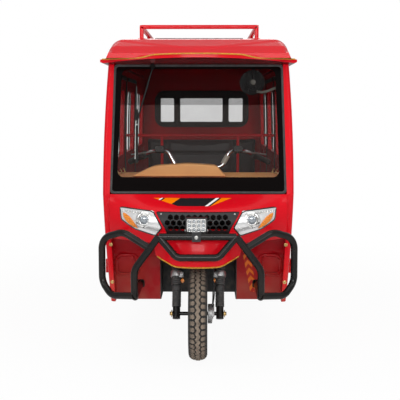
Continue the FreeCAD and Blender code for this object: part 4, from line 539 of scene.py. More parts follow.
# Faces that point down get a darker red: painted shade on the underside of the brim.
normal = roof_paint.node("NewGeometry", {}, {}, "Normal")
painted_underside_shade = (0 - roof_paint.node("SeparateXYZ", {}, {0: normal}, 2)).ramp(0.15, 0.6)
roof_paint.printed(painted_underside_shade, (0.13, 0.002, 0.004))
roof_paint.onto("roof")


def from_above(node, x, y):
    """The point of a solid that shows at a place in the top view."""
    return reach(node, (x, y, OVERHEAD), (0, 0, -1))


crest_y = guard_front + 0.74
line = [from_above("roof", -0.25 + 0.05 * step, crest_y) for step in range(11)]
Form("roof_crest_strip").swept(line, ring_of(0.007, 10, 0.5)).build("body", seal_rubber)

# Edging of the roof brim and of the cowl's lip: a twisted cord of yellow and dark gold
# strands that is clipped along the edge.

gold = Finish("gold_edging_cord", "black_plastic", roughness=0.4)
gold.clouded(300, 2, 0.4, 0.6, (0.80, 0.42, 0.02), (0.35, 0.14, 0.01))


def smooth_line(points, parts=6):
    """A line through all the points, rounded between them."""
    points = [Vector(point) for point in points]
    padded = [points[0] * 2 - points[1], *points, points[-1] * 2 - points[-2]]
    line = []
    for before, here, there, after in zip(padded, padded[1:], padded[2:], padded[3:]):
        for part in range(parts):
            t = part / parts
            line.append(((here * 2) + (there - before) * t
                         + (before * 2 - here * 5 + there * 4 - after) * t * t
                         + (here * 3 - before - there * 3 + after) * t * t * t) / 2)
    return line + [points[-1]]


def braid(name, line, body, radius=0.0022, pitch=0.011):
    """Two strands twisted round each other along a line."""
    line = smooth_line(line, 4)
    lengths = [0.0]
    for before, after in zip(line, line[1:]):
        lengths.append(lengths[-1] + (after - before).length)
    steps = int(lengths[-1] / pitch * 8)
    form = Form(name)
    for strand in range(2):
        route = []
        index = 0
        for step in range(steps + 1):
            run = lengths[-1] * step / steps
            while index + 2 < len(lengths) and lengths[index + 1] < run:
                index += 1
            share = (run - lengths[index]) / (lengths[index + 1] - lengths[index])
            middle = line[index].lerp(line[index + 1], min(1.0, share))
            turn = math.pi * 2 * run / pitch + math.pi * strand
            route.append(middle + Vector((0, math.cos(turn), math.sin(turn))) * radius * 0.8)
        form.swept(route, ring_of(radius, 6))
    return form.build(body, gold)


BRIM_TOP, BRIM_DROOPED = 1.608, 1.5865


def brim_edge(x):
    """The roof brim's front edge. It droops below the foot of the dome towards the sides."""
    share = max(0.0, min(1.0, (abs(x) - 0.22) / 0.11))
    share = share * share * (3 - 2 * share)
    top = (BRIM_TOP - 0.08 * x * x) * (1 - share) + BRIM_DROOPED * share
    return Vector((x, from_front("roof", x, top - 0.0035).y, top))


braid("brim_edging", [brim_edge(-0.516 + 0.0258 * step) + Vector((0, -0.0022, 0))
                      for step in range(41)], "body")


def lip_edge(x):
    """The lowest place of the cowl's nose at a distance from the middle."""
    for step in range(80):
        hit = from_front("front_cowl", x, 0.505 + 0.0012 * step)
        if hit:
            return hit


braid("lip_edging", [lip_edge(-0.208 + 0.026 * step) + Vector((0, -0.002, 0.0005))
                     for step in range(17)], "body")

# Headlamps: a bright moulded reflector behind each lens, with a projector, a row of small
# day lights along the top, an amber signal at the outer edge and a black rubber rim.

LAMP = [(0.410, 0.818), (0.228, 0.804), (0.180, 0.722), (0.216, 0.676), (0.330, 0.708),
        (0.400, 0.752)]
SIGNAL = [(0.391, 0.789), (0.374, 0.785), (0.352, 0.771), (0.334, 0.750), (0.316, 0.724),
          (0.308, 0.711), (0.330, 0.719), (0.352, 0.730), (0.374, 0.748), (0.387, 0.768)]
lamp_white = Finish("lamp_reflector", "lamp_plastic", base_color=(0.80, 0.80, 0.80),
                    metallic=0.6, roughness=0.2)
lamp_white.onto("headlamps")
lens_glass = Finish("lamp_lens_glass", "clear_glass", base_color=(0.32, 0.35, 0.38),
                    roughness=0.04, metallic=0.5, coat_weight=0.6, coat_roughness=0.02)
lens_glass.set("Roughness", 0.04 + lens_glass.noise(200).ramp(0.4, 0.8) * 0.1)
bright = Finish("bright_lamp_chrome", "chrome", metallic=0.9, roughness=0.14)
bright.clouded(70, 3, 0.4, 0.7, (0.86, 0.86, 0.85), (0.62, 0.62, 0.60))
amber = Finish("amber_signal_lens", "tail_plastic", roughness=0.2, coat_weight=0.5)
facet = amber.cells(150.0)
amber.set("Base Color", amber.mix(facet, (1.0, 0.34, 0.02), (0.62, 0.13, 0.0)))
amber.bump(facet, 0.5, 0.002)
black_gloss = Finish("black_gloss_trim", "black_plastic", roughness=0.22)
black_gloss.clouded(30, 2, 0, 1, (0.008, 0.008, 0.008), (0.02, 0.02, 0.02))


def along_sides(corners, shares):
    """Points along each side of a closed outline, at shares of its length."""
    return [(x + (next_x - x) * share, z + (next_z - z) * share)
            for (x, z), (next_x, next_z) in zip(corners, corners[1:] + corners[:1])
            for share in shares]


for word, side in SIDES:
    rim = along_sides([(x * side, z) for x, z in LAMP], [(part + 0.5) / 6 for part in range(6)])
    rim_line = [from_front("headlamps", x, z) or from_front("front_cowl", x, z)
                for x, z in drawn_in(rim, 0.0025)]
    Form("headlamp_rim_" + word).swept(rim_line, ring_of(0.0032, 8), BACK, True).build(
        "body", black_gloss)

    seat = from_front("headlamps", 0.275 * side, 0.759)
    bowl = Form("headlamp_projector_ring_" + word)
    bowl.turned([(0.028, 0.004), (0.029, -0.006), (0.033, -0.009), (0.038, -0.007),
                 (0.044, -0.001), (0.044, 0.004)], seat, BACK, 48)
    bowl.turned([(0.0225, 0.002), (0.0225, -0.010), (0.0250, -0.0115), (0.0275, -0.010),
                 (0.0275, 0.002)], seat, BACK, 48, True)
    bowl.build("body", bright)
    Form("headlamp_projector_lens_" + word).turned(
        [(0.0005, -0.0145), (0.006, -0.0141), (0.012, -0.0128), (0.017, -0.0110),
         (0.0215, -0.0080), (0.0222, -0.004), (0.0222, 0.002)], seat, BACK, 40).build(
             "body", lens_glass)

    lights = Form("headlamp_day_lights_" + word)
    for number in range(11):
        share = number / 10
        hit = from_front("headlamps", (0.246 + 0.142 * share) * side, 0.786 + 0.012 * share)
        lights.turned([(0.0062, 0.003), (0.0062, -0.002), (0.0048, -0.0035), (0.0042, -0.002),
                       (0.0026, -0.004), (0.0005, -0.0048)], hit, BACK, 16)
    lights.build("body", bright)
    signal = Form("headlamp_amber_signal_" + word)
    signal.skin([[from_front("headlamps", x * side, z) + Vector((0, -rise, 0))
                  for x, z in row]
                 for row, rise in ((SIGNAL, -0.002), (SIGNAL, 0.003),
                                   (drawn_in(SIGNAL, 0.003), 0.006))])
    signal.build("body", amber)
    ribs = Form("headlamp_reflector_ribs_" + word)
    for number in range(7):
        x = 0.206 + 0.006 * number
        low = from_front("headlamps", x * side, 0.722 - 0.003 * number)
        high = from_front("headlamps", (x + 0.012) * side, 0.770 - 0.001 * number)
        ribs.swept([low, high], ring_of(0.0014, 6))
    ribs.build("body", bright)

# Grille: the black moulding with its six-sided openings is held by two zinc-plated screws at
# its upper corners. The fan and the work lamp's box are of the same plastic.

black_plastic = Finish("black_moulded_plastic", "black_plastic",
                       base_color=(0.010, 0.010, 0.011), roughness=0.38)
black_plastic.bump(black_plastic.noise(300, 2), 0.2, 0.0004)
black_plastic.onto("grille", "cab_fan", "work_lamp")
zinc = Finish("zinc_plated_screws", "steel", metallic=0.9, roughness=0.3)
zinc.clouded(120, 2, 0.4, 0.7, (0.62, 0.62, 0.60), (0.38, 0.37, 0.34))
brass = Finish("yellow_zinc_bolts", "steel", metallic=0.85, roughness=0.3)
brass.clouded(120, 2, 0.4, 0.7, (0.75, 0.52, 0.20), (0.45, 0.28, 0.10))


def bolt(form, place, out, radius=0.006, tall=0.005, sides=6):
    """A bolt head on a washer."""
    place, out = Vector(place), Vector(out).normalized()
    form.turned([(radius * 1.7, -0.001), (radius * 1.7, 0.0012), (radius * 1.5, 0.0018),
                 (radius * 0.5, 0.0018)], place, out, 24)
    form.turned([(radius, 0.0012), (radius, tall * 0.85), (radius * 0.85, tall),
                 (radius * 0.3, tall)], place, out, sides)
    return form


screws = Form("grille_screws")
for x in (-0.188, 0.188):
    bolt(screws, from_front("grille", x, 0.789), AHEAD, 0.0028, 0.0026, 16)
screws.build("body", zinc)

# Work lamp: a cast box with a pressed bright reflector of twelve cups, a clear diode in each,
# on a bent bracket that one bolt holds to the guard's cross tube.


def middle_of(node):
    low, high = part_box(node)
    return (low + high) / 2


lamp_x, lamp_z = middle_of("work_lamp").x, 0.745
lamp_front = from_front("work_lamp", -0.006, lamp_z).y
reflector, diodes = Form("work_lamp_reflector"), Form("work_lamp_diodes")
reflector.plate(box_of(0.096, 0.064, 0.005), (lamp_x, lamp_front + 0.001, lamp_z), ACROSS, UP,
                0.0026)
for column in range(4):
    for row in range(3):
        cup = (lamp_x - 0.0345 + 0.023 * column, lamp_front - 0.001,
               lamp_z - 0.021 + 0.021 * row)
        reflector.turned([(0.0104, 0.001), (0.0104, -0.0042), (0.0094, -0.0048),
                          (0.0052, -0.001), (0.0052, 0.001)], cup, BACK, 20, True)
        diodes.turned([(0.0048, 0.001), (0.0048, -0.0022), (0.0036, -0.0036),
                       (0.0005, -0.0044)], cup, BACK, 14)
reflector.build("body", bright)
diodes.build("body", lens_glass)
bolts = Form("work_lamp_bolts")
bolt(bolts, from_front("work_lamp", lamp_x, 0.690), AHEAD, 0.0055, 0.006)
for side in (-1, 1):
    hit = reach("work_lamp", (lamp_x + 0.2 * side, lamp_front + 0.035, 0.715), (-side, 0, 0))
    bolt(bolts, hit, (side, 0, 0), 0.005, 0.005)
bolts.build("body", zinc)

# Tyres: cross-ply cargo tyres of worn rubber. A zig-zag rib runs round the middle, with a row
# of lobed lugs at each side and plain sidewalls. The tops of the tread are dusty.

rubber = Finish("worn_tyre_rubber", "tyre_rubber", roughness=0.8)
rubber.set("Base Color", (0.02, 0.019, 0.018))
rubber.onto("front_tyre", "rear_left_tyre", "rear_right_tyre")
tread_dust = Finish("dusty_tyre_tread", "tyre_rubber", roughness=0.85)
sideways = abs(tread_dust.axes()[0])
sideways = sideways.least(abs(sideways - 0.415))
cloud = tread_dust.noise(45, 3)
dusty = tread_dust.mix(cloud.ramp(0.25, 0.75), (0.26, 0.205, 0.155), (0.14, 0.107, 0.082))
tread_dust.set("Base Color", tread_dust.mix(sideways.ramp(0.031, 0.041), dusty,
                                            (0.035, 0.030, 0.026)))
tread_dust.bump(tread_dust.noise(600, 2), 0.3, 0.0005)

RIM_EDGE, TREAD_TOP, PITCHES = 0.158, 0.2448, 44
# The section of the wall and shoulder, in pairs of radius and half width.
WALL = [(RIM_EDGE, 0.034), (0.166, 0.0385), (0.172, 0.041), (0.1735, 0.0440), (0.1765, 0.0445),
        (0.178, 0.0430), (0.186, 0.0470), (0.195, 0.0488), (0.205, 0.0486), (0.211, 0.0480),
        (0.2125, 0.0490), (0.2165, 0.0486), (0.218, 0.0474)]
INSIDE = [(RIM_EDGE + 0.003, -0.030), (0.205, -0.040), (0.230, -0.020), (0.230, 0.020),
          (0.205, 0.040), (RIM_EDGE + 0.003, 0.030)]
# The middle rib, in pairs of x and radius.
RIB = ((-0.0098, 0.2375), (-0.0085, 0.2440), (-0.003, TREAD_TOP), (0.003, TREAD_TOP),
       (0.0085, 0.2440), (0.0098, 0.2375))
RIB_SWAY = 0.0048
# A lug: x, with its half length there as a share of the pitch, and its height.
LUG = ((0.0158, 0.17, 0.0036), (0.0170, 0.23, 0.0052), (0.021, 0.34, 0.0052),
       (0.0265, 0.38, 0.0052), (0.029, 0.29, 0.0052), (0.032, 0.31, 0.0052),
       (0.037, 0.35, 0.0052), (0.042, 0.33, 0.0022), (0.0455, 0.27, 0.0022))


def crown(x):
    """The radius of the carcass under the tread."""
    return 0.1640 + math.sqrt(0.075 ** 2 - min(abs(x), 0.0475) ** 2)


def tyre(node, body):
    """A whole tyre about its wheel's middle, in place of the plain one."""
    middle = middle_of(node)
    half = WALL + [(crown(x), x) for x in (0.0455, 0.042, 0.036, 0.028, 0.018, 0.008)]
    profile = half + [(crown(0), 0.0)] + [(r, -x) for r, x in reversed(half)]
    carcass = Form(node + "_carcass")
    carcass.turned(profile + INSIDE, middle, ACROSS, 96, True)
    carcass.build(body, rubber, [node])

    def at(turn, x, radius):
        return middle + Vector((x, math.cos(turn) * radius, math.sin(turn) * radius))

    tread = Form(node + "_tread")
    rings = []
    for step in range(PITCHES * 4):
        turn = 2 * math.pi * step / (PITCHES * 4)
        sway = RIB_SWAY * (1, 0.35, -1, -0.35)[(step + 1) % 4]
        rings.append([at(turn, x + sway, radius) for x, radius in RIB])
    tread.skin(rings, True)
    pitch = 2 * math.pi / PITCHES
    for side in (-1, 1):
        for number in range(PITCHES):
            centre = pitch * (number + (0.25 if side > 0 else 0.75))
            rings = []
            for x, share, tall in LUG:
                top, foot = min(crown(x) + tall, TREAD_TOP), crown(x) - 0.002
                wide = pitch * share
                rings.append([at(centre + turn, x * side, radius) for turn, radius in
                              ((-wide, foot), (-wide * 0.88, top), (0, top + 0.0001),
                               (wide * 0.88, top), (wide, foot))])
            tread.skin(rings)
    tread.build(body, tread_dust, sharp=30)


for node, body in (("front_tyre", "front_wheel"), ("rear_left_tyre", "rear_wheel_left"),
                   ("rear_right_tyre", "rear_wheel_right")):
    tyre(node, body)

# Wheels: pressed steel discs in silver paint with specks of rust. Five lug nuts hold each to
# its hub, and a rubber valve comes through the disc.

wheel_steel = Finish("painted_wheel_steel", "steel", metallic=0.85, roughness=0.35)
wheel_steel.clouded(40, 4, 0.55, 0.8, (0.45, 0.45, 0.46), (0.20, 0.16, 0.12), 0.6)
wheel_steel.set("Roughness", 0.3 + wheel_steel.noise(40, 4).ramp(0.55, 0.8) * 0.3)
wheel_steel.onto("front_rim", "rear_left_rim", "rear_right_rim")


def on_side(node, side, y, z):
    """The point of a solid that shows at a place in the side view."""
    return reach(node, (side * BESIDE, y, z), (-side, 0, 0))


NUT_CIRCLE = 0.052
for node, body, sides in (("front_rim", "front_wheel", (-1, 1)),
                          ("rear_left_rim", "rear_wheel_left", (1,)),
                          ("rear_right_rim", "rear_wheel_right", (-1,))):
    middle = middle_of(node)
    nuts = Form(node + "_nuts")
    for side in sides:
        for number in range(5):
            turn = 2 * math.pi * number / 5 + 0.3
            spot = middle + Vector((0, math.cos(turn), math.sin(turn))) * NUT_CIRCLE
            bolt(nuts, on_side(node, side, spot.y, spot.z), (side, 0, 0), 0.0075, 0.009)
    valve = on_side(node, sides[-1], middle.y + 0.116, middle.z + 0.04)
    nuts.turned([(0.006, -0.004), (0.006, 0.004), (0.0042, 0.006), (0.0042, 0.022),
                 (0.0030, 0.024)], valve, (sides[-1], -0.25, 0), 14)
    nuts.build(body, zinc)

# Fork: ribbed rubber boots over the springs, alloy clamps at the crown, nuts on the axle and
# amber side reflectors. The brake hose and the lamp wires run down the left leg.

cast = Finish("cast_aluminium", "aluminium", metallic=0.9, roughness=0.42)
cast.clouded(35, 4, 0.4, 0.8, (0.50, 0.50, 0.50), (0.26, 0.25, 0.24))
cast.bump(cast.noise(300, 2), 0.3, 0.0005)
fork_rubber = Finish("grey_fork_rubber", "black_rubber", roughness=0.6)
fork_rubber.clouded(60, 3, 0.35, 0.7, (0.030, 0.030, 0.032), (0.075, 0.070, 0.065))
AXLE = Vector((0, guard_front + 0.25, 0.245))
RAKE = Vector((0, 0.406737, 0.913545))
CROWN, LEG = 0.2125, 0.115
ahead_of_leg = Vector(ACROSS).cross(RAKE) * 0.030


def ribbed(count, first, pitch, rib):
    """The profile of a row of like ribs; rib has pairs of radius and place."""
    return [(radius, first + number * pitch + place) for number in range(count)
            for radius, place in rib]


def from_axle(*place):
    return AXLE + Vector(place)


boots, clamps = Form("fork_boots"), Form("fork_clamps")
nuts, reflectors = Form("axle_nuts"), Form("fork_reflectors")
for side in (-1, 1):
    foot = from_axle(LEG * side, 0, 0)
    outward = (side, 0, 0)
    boots.turned([(0.0255, 0.152),
                  *ribbed(10, 0.154, 0.0108, ((0.0275, 0), (0.0288, 0.002), (0.0288, 0.0055),
                                              (0.0275, 0.0075), (0.0262, 0.009))),
                  (0.0262, 0.2675), (0.0255, 0.268)], foot, RAKE, 32)
    boots.turned([(0.0205, 0.118), (0.0235, 0.120), (0.0245, 0.128), (0.0245, 0.146),
                  (0.0225, 0.150)], foot, RAKE, 32)
    boots.turned([(0.0205, 0.036), (0.0238, 0.037), (0.0238, 0.043),
                  *ribbed(8, 0.045, 0.0085, ((0.0222, 0), (0.0240, 0.0018), (0.0240, 0.0048),
                                             (0.0222, 0.0066))),
                  (0.0238, 0.114), (0.0238, 0.117), (0.0205, 0.118)], foot, RAKE, 28)
    clamps.turned([(0.0255, 0.196), (0.0320, 0.1965), (0.0335, 0.199), (0.0335, 0.226),
                   (0.0320, 0.2285), (0.0255, 0.229)], foot, RAKE, 36)
    clamps.plate(box_of(0.026, 0.030, 0.004),
                 foot + RAKE * CROWN + Vector((-0.024 * side, -0.018, 0)), ACROSS, RAKE, 0.012,
                 0.002)
    bolt(clamps, foot + RAKE * CROWN + Vector((-0.026 * side, -0.032, 0)), AHEAD, 0.006, 0.006)
    for level in (0.279, 0.308):
        clamps.turned([(0.024, -0.0005), (0.0345, 0.0), (0.0355, 0.002), (0.0355, 0.010),
                       (0.0345, 0.012), (0.024, 0.0125)], foot + RAKE * level, RAKE, 36)
    clamps.plate(box_of(0.030, 0.040, 0.006), foot + RAKE * 0.293 + ahead_of_leg, ACROSS, RAKE,
                 0.012, 0.002)
    bolt(clamps, foot + RAKE * 0.300 + Vector((side * 0.034, 0, 0)), outward, 0.006, 0.008)
    end = reach("fork", from_axle(0.4 * side, 0, 0), (-side, 0, 0))
    nuts.turned([(0.017, -0.001), (0.017, 0.002), (0.0155, 0.003), (0.009, 0.003)],
                end - Vector((0.012 * side, 0, 0)), outward, 28)
    bolt(nuts, end - Vector((0.010 * side, 0, 0)), outward, 0.0115, 0.010)
    reflectors.turned([(0.011, 0.006), (0.011, 0.0), (0.0095, -0.0025), (0.0005, -0.0032)],
                      foot + RAKE * 0.180 + Vector((-0.030 * side, -0.014, 0)), BACK, 20)
boots.build("steering", fork_rubber)
clamps.build("steering", cast)
nuts.build("steering", brass)
reflectors.build("steering", amber)
for name, section, route in (
        ("brake_hose", ring_of(0.004), (
            (0.081, 0.060, 0.330), (0.079, 0.040, 0.240), (0.078, 0.022, 0.160),
            (0.079, 0.008, 0.100), (0.077, 0.0, 0.052))),
        ("fork_wires", ring_of(0.0028, 8), (
            (0.086, 0.050, 0.300), (0.072, 0.020, 0.230), (0.083, -0.010, 0.160),
            (0.086, -0.012, 0.110), (0.080, -0.020, 0.060), (0.074, -0.026, 0.040)))):
    line = smooth_line([from_axle(*place) for place in route])
    Form(name).swept(line, section, ACROSS).build("steering", seal_rubber)

# Front brake: a cast plate and a ribbed drum beside the wheel. A lever arm, held by one bolt,
# works the shoes, and a second bolt locks the plate.

cast.onto("brake_plate")
arm = Form("brake_arm")
arm.swept([from_axle(0.0775, 0.0, 0.048), from_axle(0.0775, -0.030, 0.030),
           from_axle(0.0775, -0.046, -0.004)], box_of(0.007, 0.016, 0.002), ACROSS)
bolt(arm, from_axle(0.079, 0.0, 0.046), ACROSS, 0.007, 0.007)
bolt(arm, from_axle(0.0755, 0.03, -0.03), ACROSS, 0.005, 0.005)
arm.build("steering", cast)
drum = Form("brake_drum_ribs")
drum.turned([(0.020, 0.051), (0.0515, 0.051),
             *ribbed(4, 0.0525, 0.0052, ((0.0490, 0), (0.0522, 0.0012), (0.0522, 0.0030),
                                         (0.0490, 0.0042))),
             (0.046, 0.0745), (0.030, 0.0765), (0.020, 0.0765)], AXLE, ACROSS, 48)
drum.build("steering", cast)

# Corner panels: the pressed fascia is held to the cab's frame by brass-coloured screws, two
# at each outer edge.

screws = Form("corner_panel_screws")
for side, node in ((-1, "corner_panel_right"), (1, "corner_panel_left")):
    for x, z in ((0.467, 0.602), (0.465, 0.394)):
        bolt(screws, from_front(node, x * side, z), AHEAD, 0.0055, 0.005)
screws.build("body", brass)

# Wiper: the black arm carries a bright blade frame with its adaptor, and the rubber blade lies
# on the glass.

GLASS_OUT = Vector((0, -0.966, 0.259))


def on_glass(x, z, lift):
    """A place at a height above the windshield's outer face."""
    return from_front("windshield_glass", x, z) + GLASS_OUT * lift


holder = Form("wiper_blade_frame")
for x in (-0.3335, -0.3265):
    holder.swept([on_glass(x, z, 0.013) for z in (1.235, 1.20, 1.15, 1.10, 1.055)],
                 box_of(0.0022, 0.004, 0.0005), ACROSS)
holder.plate(box_of(0.014, 0.026, 0.003), on_glass(-0.328, 1.245, 0.012), ACROSS,
             (0, 0.259, 0.966), 0.005)
holder.build("body", bright)
blade = Form("wiper_blade_rubber")
blade.swept([on_glass(-0.331, z, 0.004) for z in (1.44, 1.38, 1.30, 1.20, 1.10, 1.045)],
            [(-0.003, 0.004), (-0.0008, 0), (-0.0004, -0.0035), (0.0004, -0.0035), (0.0008, 0),
             (0.003, 0.004)], (0, -1, 0.26))
blade.build("body", seal_rubber)

# Windshield: a raised bead locks the rubber all the way round the glass. It is pressed into
# the seal's groove, and its edge is worn grey.

bead_paint = Finish("worn_grey_bead", "black_rubber", roughness=0.5)
bead_paint.clouded(40, 3, 0.35, 0.7, (0.075, 0.075, 0.075), (0.025, 0.025, 0.025))
corners = [(-0.457, 0.884), (0.457, 0.884), (0.449, 1.552), (-0.449, 1.552)]
loop = [from_front("windshield_seal", x, z) for x, z in along_sides(
    corners, [0.02 + 0.96 * part / 13 for part in range(14)])]
Form("windshield_bead").swept(loop, ring_of(0.0017, 8), BACK, True).build("body", bead_paint)

# Side windows: sliding panes run in black rubber let into the sheet, and meet at an upright
# rail in the middle of each window.

DOORS = ("front_door_", "rear_door_")
SHELL = 0.44


def side_line(node, side, places, beyond=SHELL):
    """The points of a solid's outer skin at places in the side view, where it is there."""
    hits = [on_side(node, side, y, z) for y, z in places]
    return [hit for hit in hits if hit and abs(hit.x) >= beyond]


for word, side in SIDES:
    panes = [(door + "glass_" + word, door + word + "_leaf", door + word, door + word)
             for door in DOORS] + [("quarter_glass", "body", "side_wall_" + word, "body_" + word)]
    for glass, body, carrier, name in panes:
        low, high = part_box(glass)
        near, far, foot, head = low.y - 0.004, high.y + 0.004, low.z - 0.004, high.z + 0.004
        edge = along_sides([(near, foot), (far, foot), (far, head), (near, head)],
                           [0.06 + 0.88 * part / 7 for part in range(8)])
        window = Form("window_rubber_" + name)
        window.swept(side_line(carrier, side, edge), ring_of(0.0062, 8, 0.6), ACROSS, True)
        window.swept(side_line(glass, side, [((near + far) / 2, foot + (head - foot) * share)
                                             for share in (0.02, 0.25, 0.5, 0.75, 0.98)], 0),
                     box_of(0.022, 0.007, 0.002), (side, 0, 0))
        window.build(body, seal_rubber)

# Doors: a black grip let into each handle, a bright lock below it, and a rubber strip that
# runs along the panel as a rubbing strake.

GRIP_LEVEL, LOCK_LEVEL, STRAKE_LEVEL = 0.980, 0.940, 0.700
for word, side in SIDES:
    for door in DOORS:
        node, body = door + word, door + word + "_leaf"
        low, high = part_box(node)
        grip = Form(node + "_grip")
        hit = on_side(node, side, high.y - 0.082, GRIP_LEVEL)
        grip.plate(box_of(0.078, 0.013, 0.005), hit - Vector((side * 0.001, 0, 0)),
                   (0, side, 0), UP, 0.0032, 0.001)
        strake = [(low.y + 0.05 + (high.y - low.y - 0.08) * step / 5, STRAKE_LEVEL)
                  for step in range(6)]
        grip.swept(side_line(node, side, strake, 0), box_of(0.030, 0.006, 0.0025),
                   (side, 0, 0))
        grip.build(body, black_gloss)
        lock = Form(node + "_lock")
        lock.turned([(0.0095, -0.001), (0.0095, 0.002), (0.0085, 0.003), (0.006, 0.0022),
                     (0.0005, 0.0022)], on_side(node, side, high.y - 0.05, LOCK_LEVEL),
                    (side, 0, 0), 28)
        lock.build(body, bright)

# Door seals: rubber strips on the inside of the body close the gaps above and behind the
# doors.

WITHIN_CAB = 0.30
for word, side in SIDES:
    for door in DOORS:
        low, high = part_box(door + word)
        seal = Form(door + word + "_seal")
        above = [(low.y + 0.03 + (high.y - low.y - 0.04) * step / 6, high.z + 0.004)
                 for step in range(7)]
        behind = [(high.y + 0.004, 0.36 + (high.z - 0.37) * step / 8) for step in range(9)]
        for row, more_y, more_z, section, upward in (
                (above, 0, 0.012, box_of(0.005, 0.026, 0.0015), UP),
                (behind, 0.012, 0, box_of(0.026, 0.005, 0.0015), ACROSS)):
            line = []
            for y, z in row:
                hit = reach("side_wall_" + word, (WITHIN_CAB * side, y + more_y, z + more_z),
                            (side, 0, 0))
                if hit:
                    line.append((hit.x - 0.0035 * side, y, z))
            seal.swept(line, section, upward)
        seal.build("body", seal_rubber)

# Tail lamps: red housings with ribbed lenses, a clear reversing cell in the middle and an
# amber signal on top.

tail_red = Finish("tail_lamp_plastic", "tail_plastic", base_color=(0.45, 0.01, 0.01),
                  roughness=0.15, coat_weight=0.8)
tail_red.onto("tail_lamps")
lamp_low, lamp_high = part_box("tail_lamps")
RIB_COUNT = 14


def from_behind(node, x, z):
    """The point of a solid that shows at a place in the back view."""
    return reach(node, (x, BEHIND, z), AHEAD)


for word, side in SIDES:
    cells = {finish: Form("tail_lamp_" + kind + "_" + word) for kind, finish in
             (("ribs", tail_red), ("clear_cell", lens_glass), ("amber_cell", amber))}
    x_mid = side * (abs(lamp_high.x) - 0.030)
    z_low, z_high = lamp_low.z + 0.012, lamp_high.z - 0.012
    for number in range(RIB_COUNT):
        z = z_low + (z_high - z_low) * (number + 0.5) / RIB_COUNT
        finish = lens_glass if number in (5, 6, 7, 8) else amber if number > 10 else tail_red
        hit = from_behind("tail_lamps", x_mid, z)
        cells[finish].swept([hit + Vector((-0.021, 0, 0)), hit + Vector((0.021, 0, 0))],
                            ring_of(0.0062, 10, 0.6), UP)
    for finish, cell in cells.items():
        cell.build("body", finish)

# Rear window: rubber mouldings with round corners lock the three panes into their black
# frame.

PANE_LOW, PANE_HIGH = 1.211, 1.410
beads = Form("rear_window_beads")
bead_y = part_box("rear_window_glass")[1].y + 0.001
for left, right in ((-0.340, -0.224), (-0.180, 0.175), (0.217, 0.340)):
    beads.swept([((left + right) / 2 + x, bead_y, (PANE_LOW + PANE_HIGH) / 2 + z)
                 for x, z in box_of(right - left, PANE_HIGH - PANE_LOW, 0.012)],
                ring_of(0.004, 8), BACK, True)
beads.build("body", seal_rubber)

# Cab fan: five blades behind a wire guard, with a pale moulded boss. A pale pressed strap
# ties it to the corner panel.

fan_x, fan_z, fan_y = 0.296, 1.467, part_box("cab_fan")[0].y
fan_face = (fan_x, fan_y + 0.001, fan_z)
guard = Form("fan_guard")
wire = ring_of(0.0011, 6)
for radius in (0.020, 0.032, 0.044, 0.056, 0.064):
    set_back = 0.004 if radius == 0.064 else 0
    guard.turned([(radius + across, along) for across, along in wire],
                 (fan_x, fan_y + 0.001 + set_back, fan_z), BACK, 40, True)
for number in range(12):
    turn = 2 * math.pi * number / 12
    out = Vector((math.cos(turn), 0, math.sin(turn)))
    guard.swept([Vector(fan_face) + out * 0.014,
                 Vector((fan_x, fan_y + 0.003, fan_z)) + out * 0.064], ring_of(0.001, 6),
                (0, 1, 0.01))
guard.build("body", black_gloss)
pale = Finish("pale_moulded_plastic", "lamp_plastic", roughness=0.45)
pale.clouded(60, 2, 0, 1, (0.62, 0.60, 0.52), (0.48, 0.46, 0.40))
boss = Form("fan_boss")
boss.turned([(0.014, 0.004), (0.014, 0.0), (0.011, -0.002), (0.0005, -0.0028)], fan_face, BACK,
            30)
boss.build("body", pale)
strap = Form("fan_strap")
strap.swept(smooth_line([(0.318, fan_y + 0.060, 1.418), (0.350, fan_y + 0.058, 1.414),
                         (0.385, fan_y + 0.054, 1.422), (0.425, fan_y + 0.050, 1.438),
                         (0.446, fan_y + 0.050, 1.444)]), box_of(0.003, 0.013, 0.001), UP)
bolt(strap, (0.425, fan_y + 0.0475, 1.438), AHEAD, 0.0035, 0.003)
strap.build("body", pale)

# Handlebar controls: brake levers on alloy brackets, switch boxes, and a pale coiled sleeve
# over the cables on the left riser. The bar itself is chromed tube.

chrome = Finish("chromed_tube", "chrome", base_color=(0.78, 0.78, 0.80), metallic=1.0,
                roughness=0.08)
chrome.set("Roughness", 0.06 + chrome.noise(50, 3).ramp(0.4, 0.9) * 0.12)
chrome.onto("handlebar")
controls, levers = Form("switch_boxes"), Form("brake_levers")
bar_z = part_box("handlebar")[1].z - 0.012
for side in (-1, 1):
    centre = from_front("handlebar", side * 0.22, bar_z) + Vector((0, 0.011, 0))
    controls.plate(box_of(0.052, 0.040, 0.010), centre + Vector((0, -0.019, 0.004)), ACROSS,
                   (0, 0.35, 0.94), 0.0299, 0.004)
    levers.swept(smooth_line([centre + Vector((side * x, y, z)) for x, y, z in
                              ((0.010, -0.020, 0), (0.050, -0.042, -0.004),
                               (0.110, -0.030, -0.012), (0.160, -0.010, -0.020))]),
                 ring_of(0.0065, 10, 0.6), UP)
controls.build("steering", black_gloss)
levers.build("steering", cast)
centres = []
for z in (1.015, 1.030, 1.045, 1.060):
    found = [from_front("handlebar", 0.07 + 0.002 * step, z) for step in range(70)]
    found = [hit for hit in found if hit]
    centres.append(sum(found, Vector()) / len(found) + Vector((0, 0.006, 0)))
first, last = centres[0], centres[-1]
route = (last - first).normalized()
out_a = route.orthogonal().normalized()
out_b = route.cross(out_a)
COILS, STEPS = 14, 12
coil = []
for step in range(COILS * STEPS + 1):
    turn = 2 * math.pi * step / STEPS
    coil.append(first.lerp(last, step / (COILS * STEPS))
                + (out_a * math.cos(turn) + out_b * math.sin(turn)) * 0.0135)
Form("coiled_cable_sleeve").swept(coil, ring_of(0.0019, 6), route).build("steering", pale)

# Roof rack: welded square tube in the body's red. Posts carry two side rails and an end rail
# front and rear; the two middle bars lie low, between the feet of the posts.

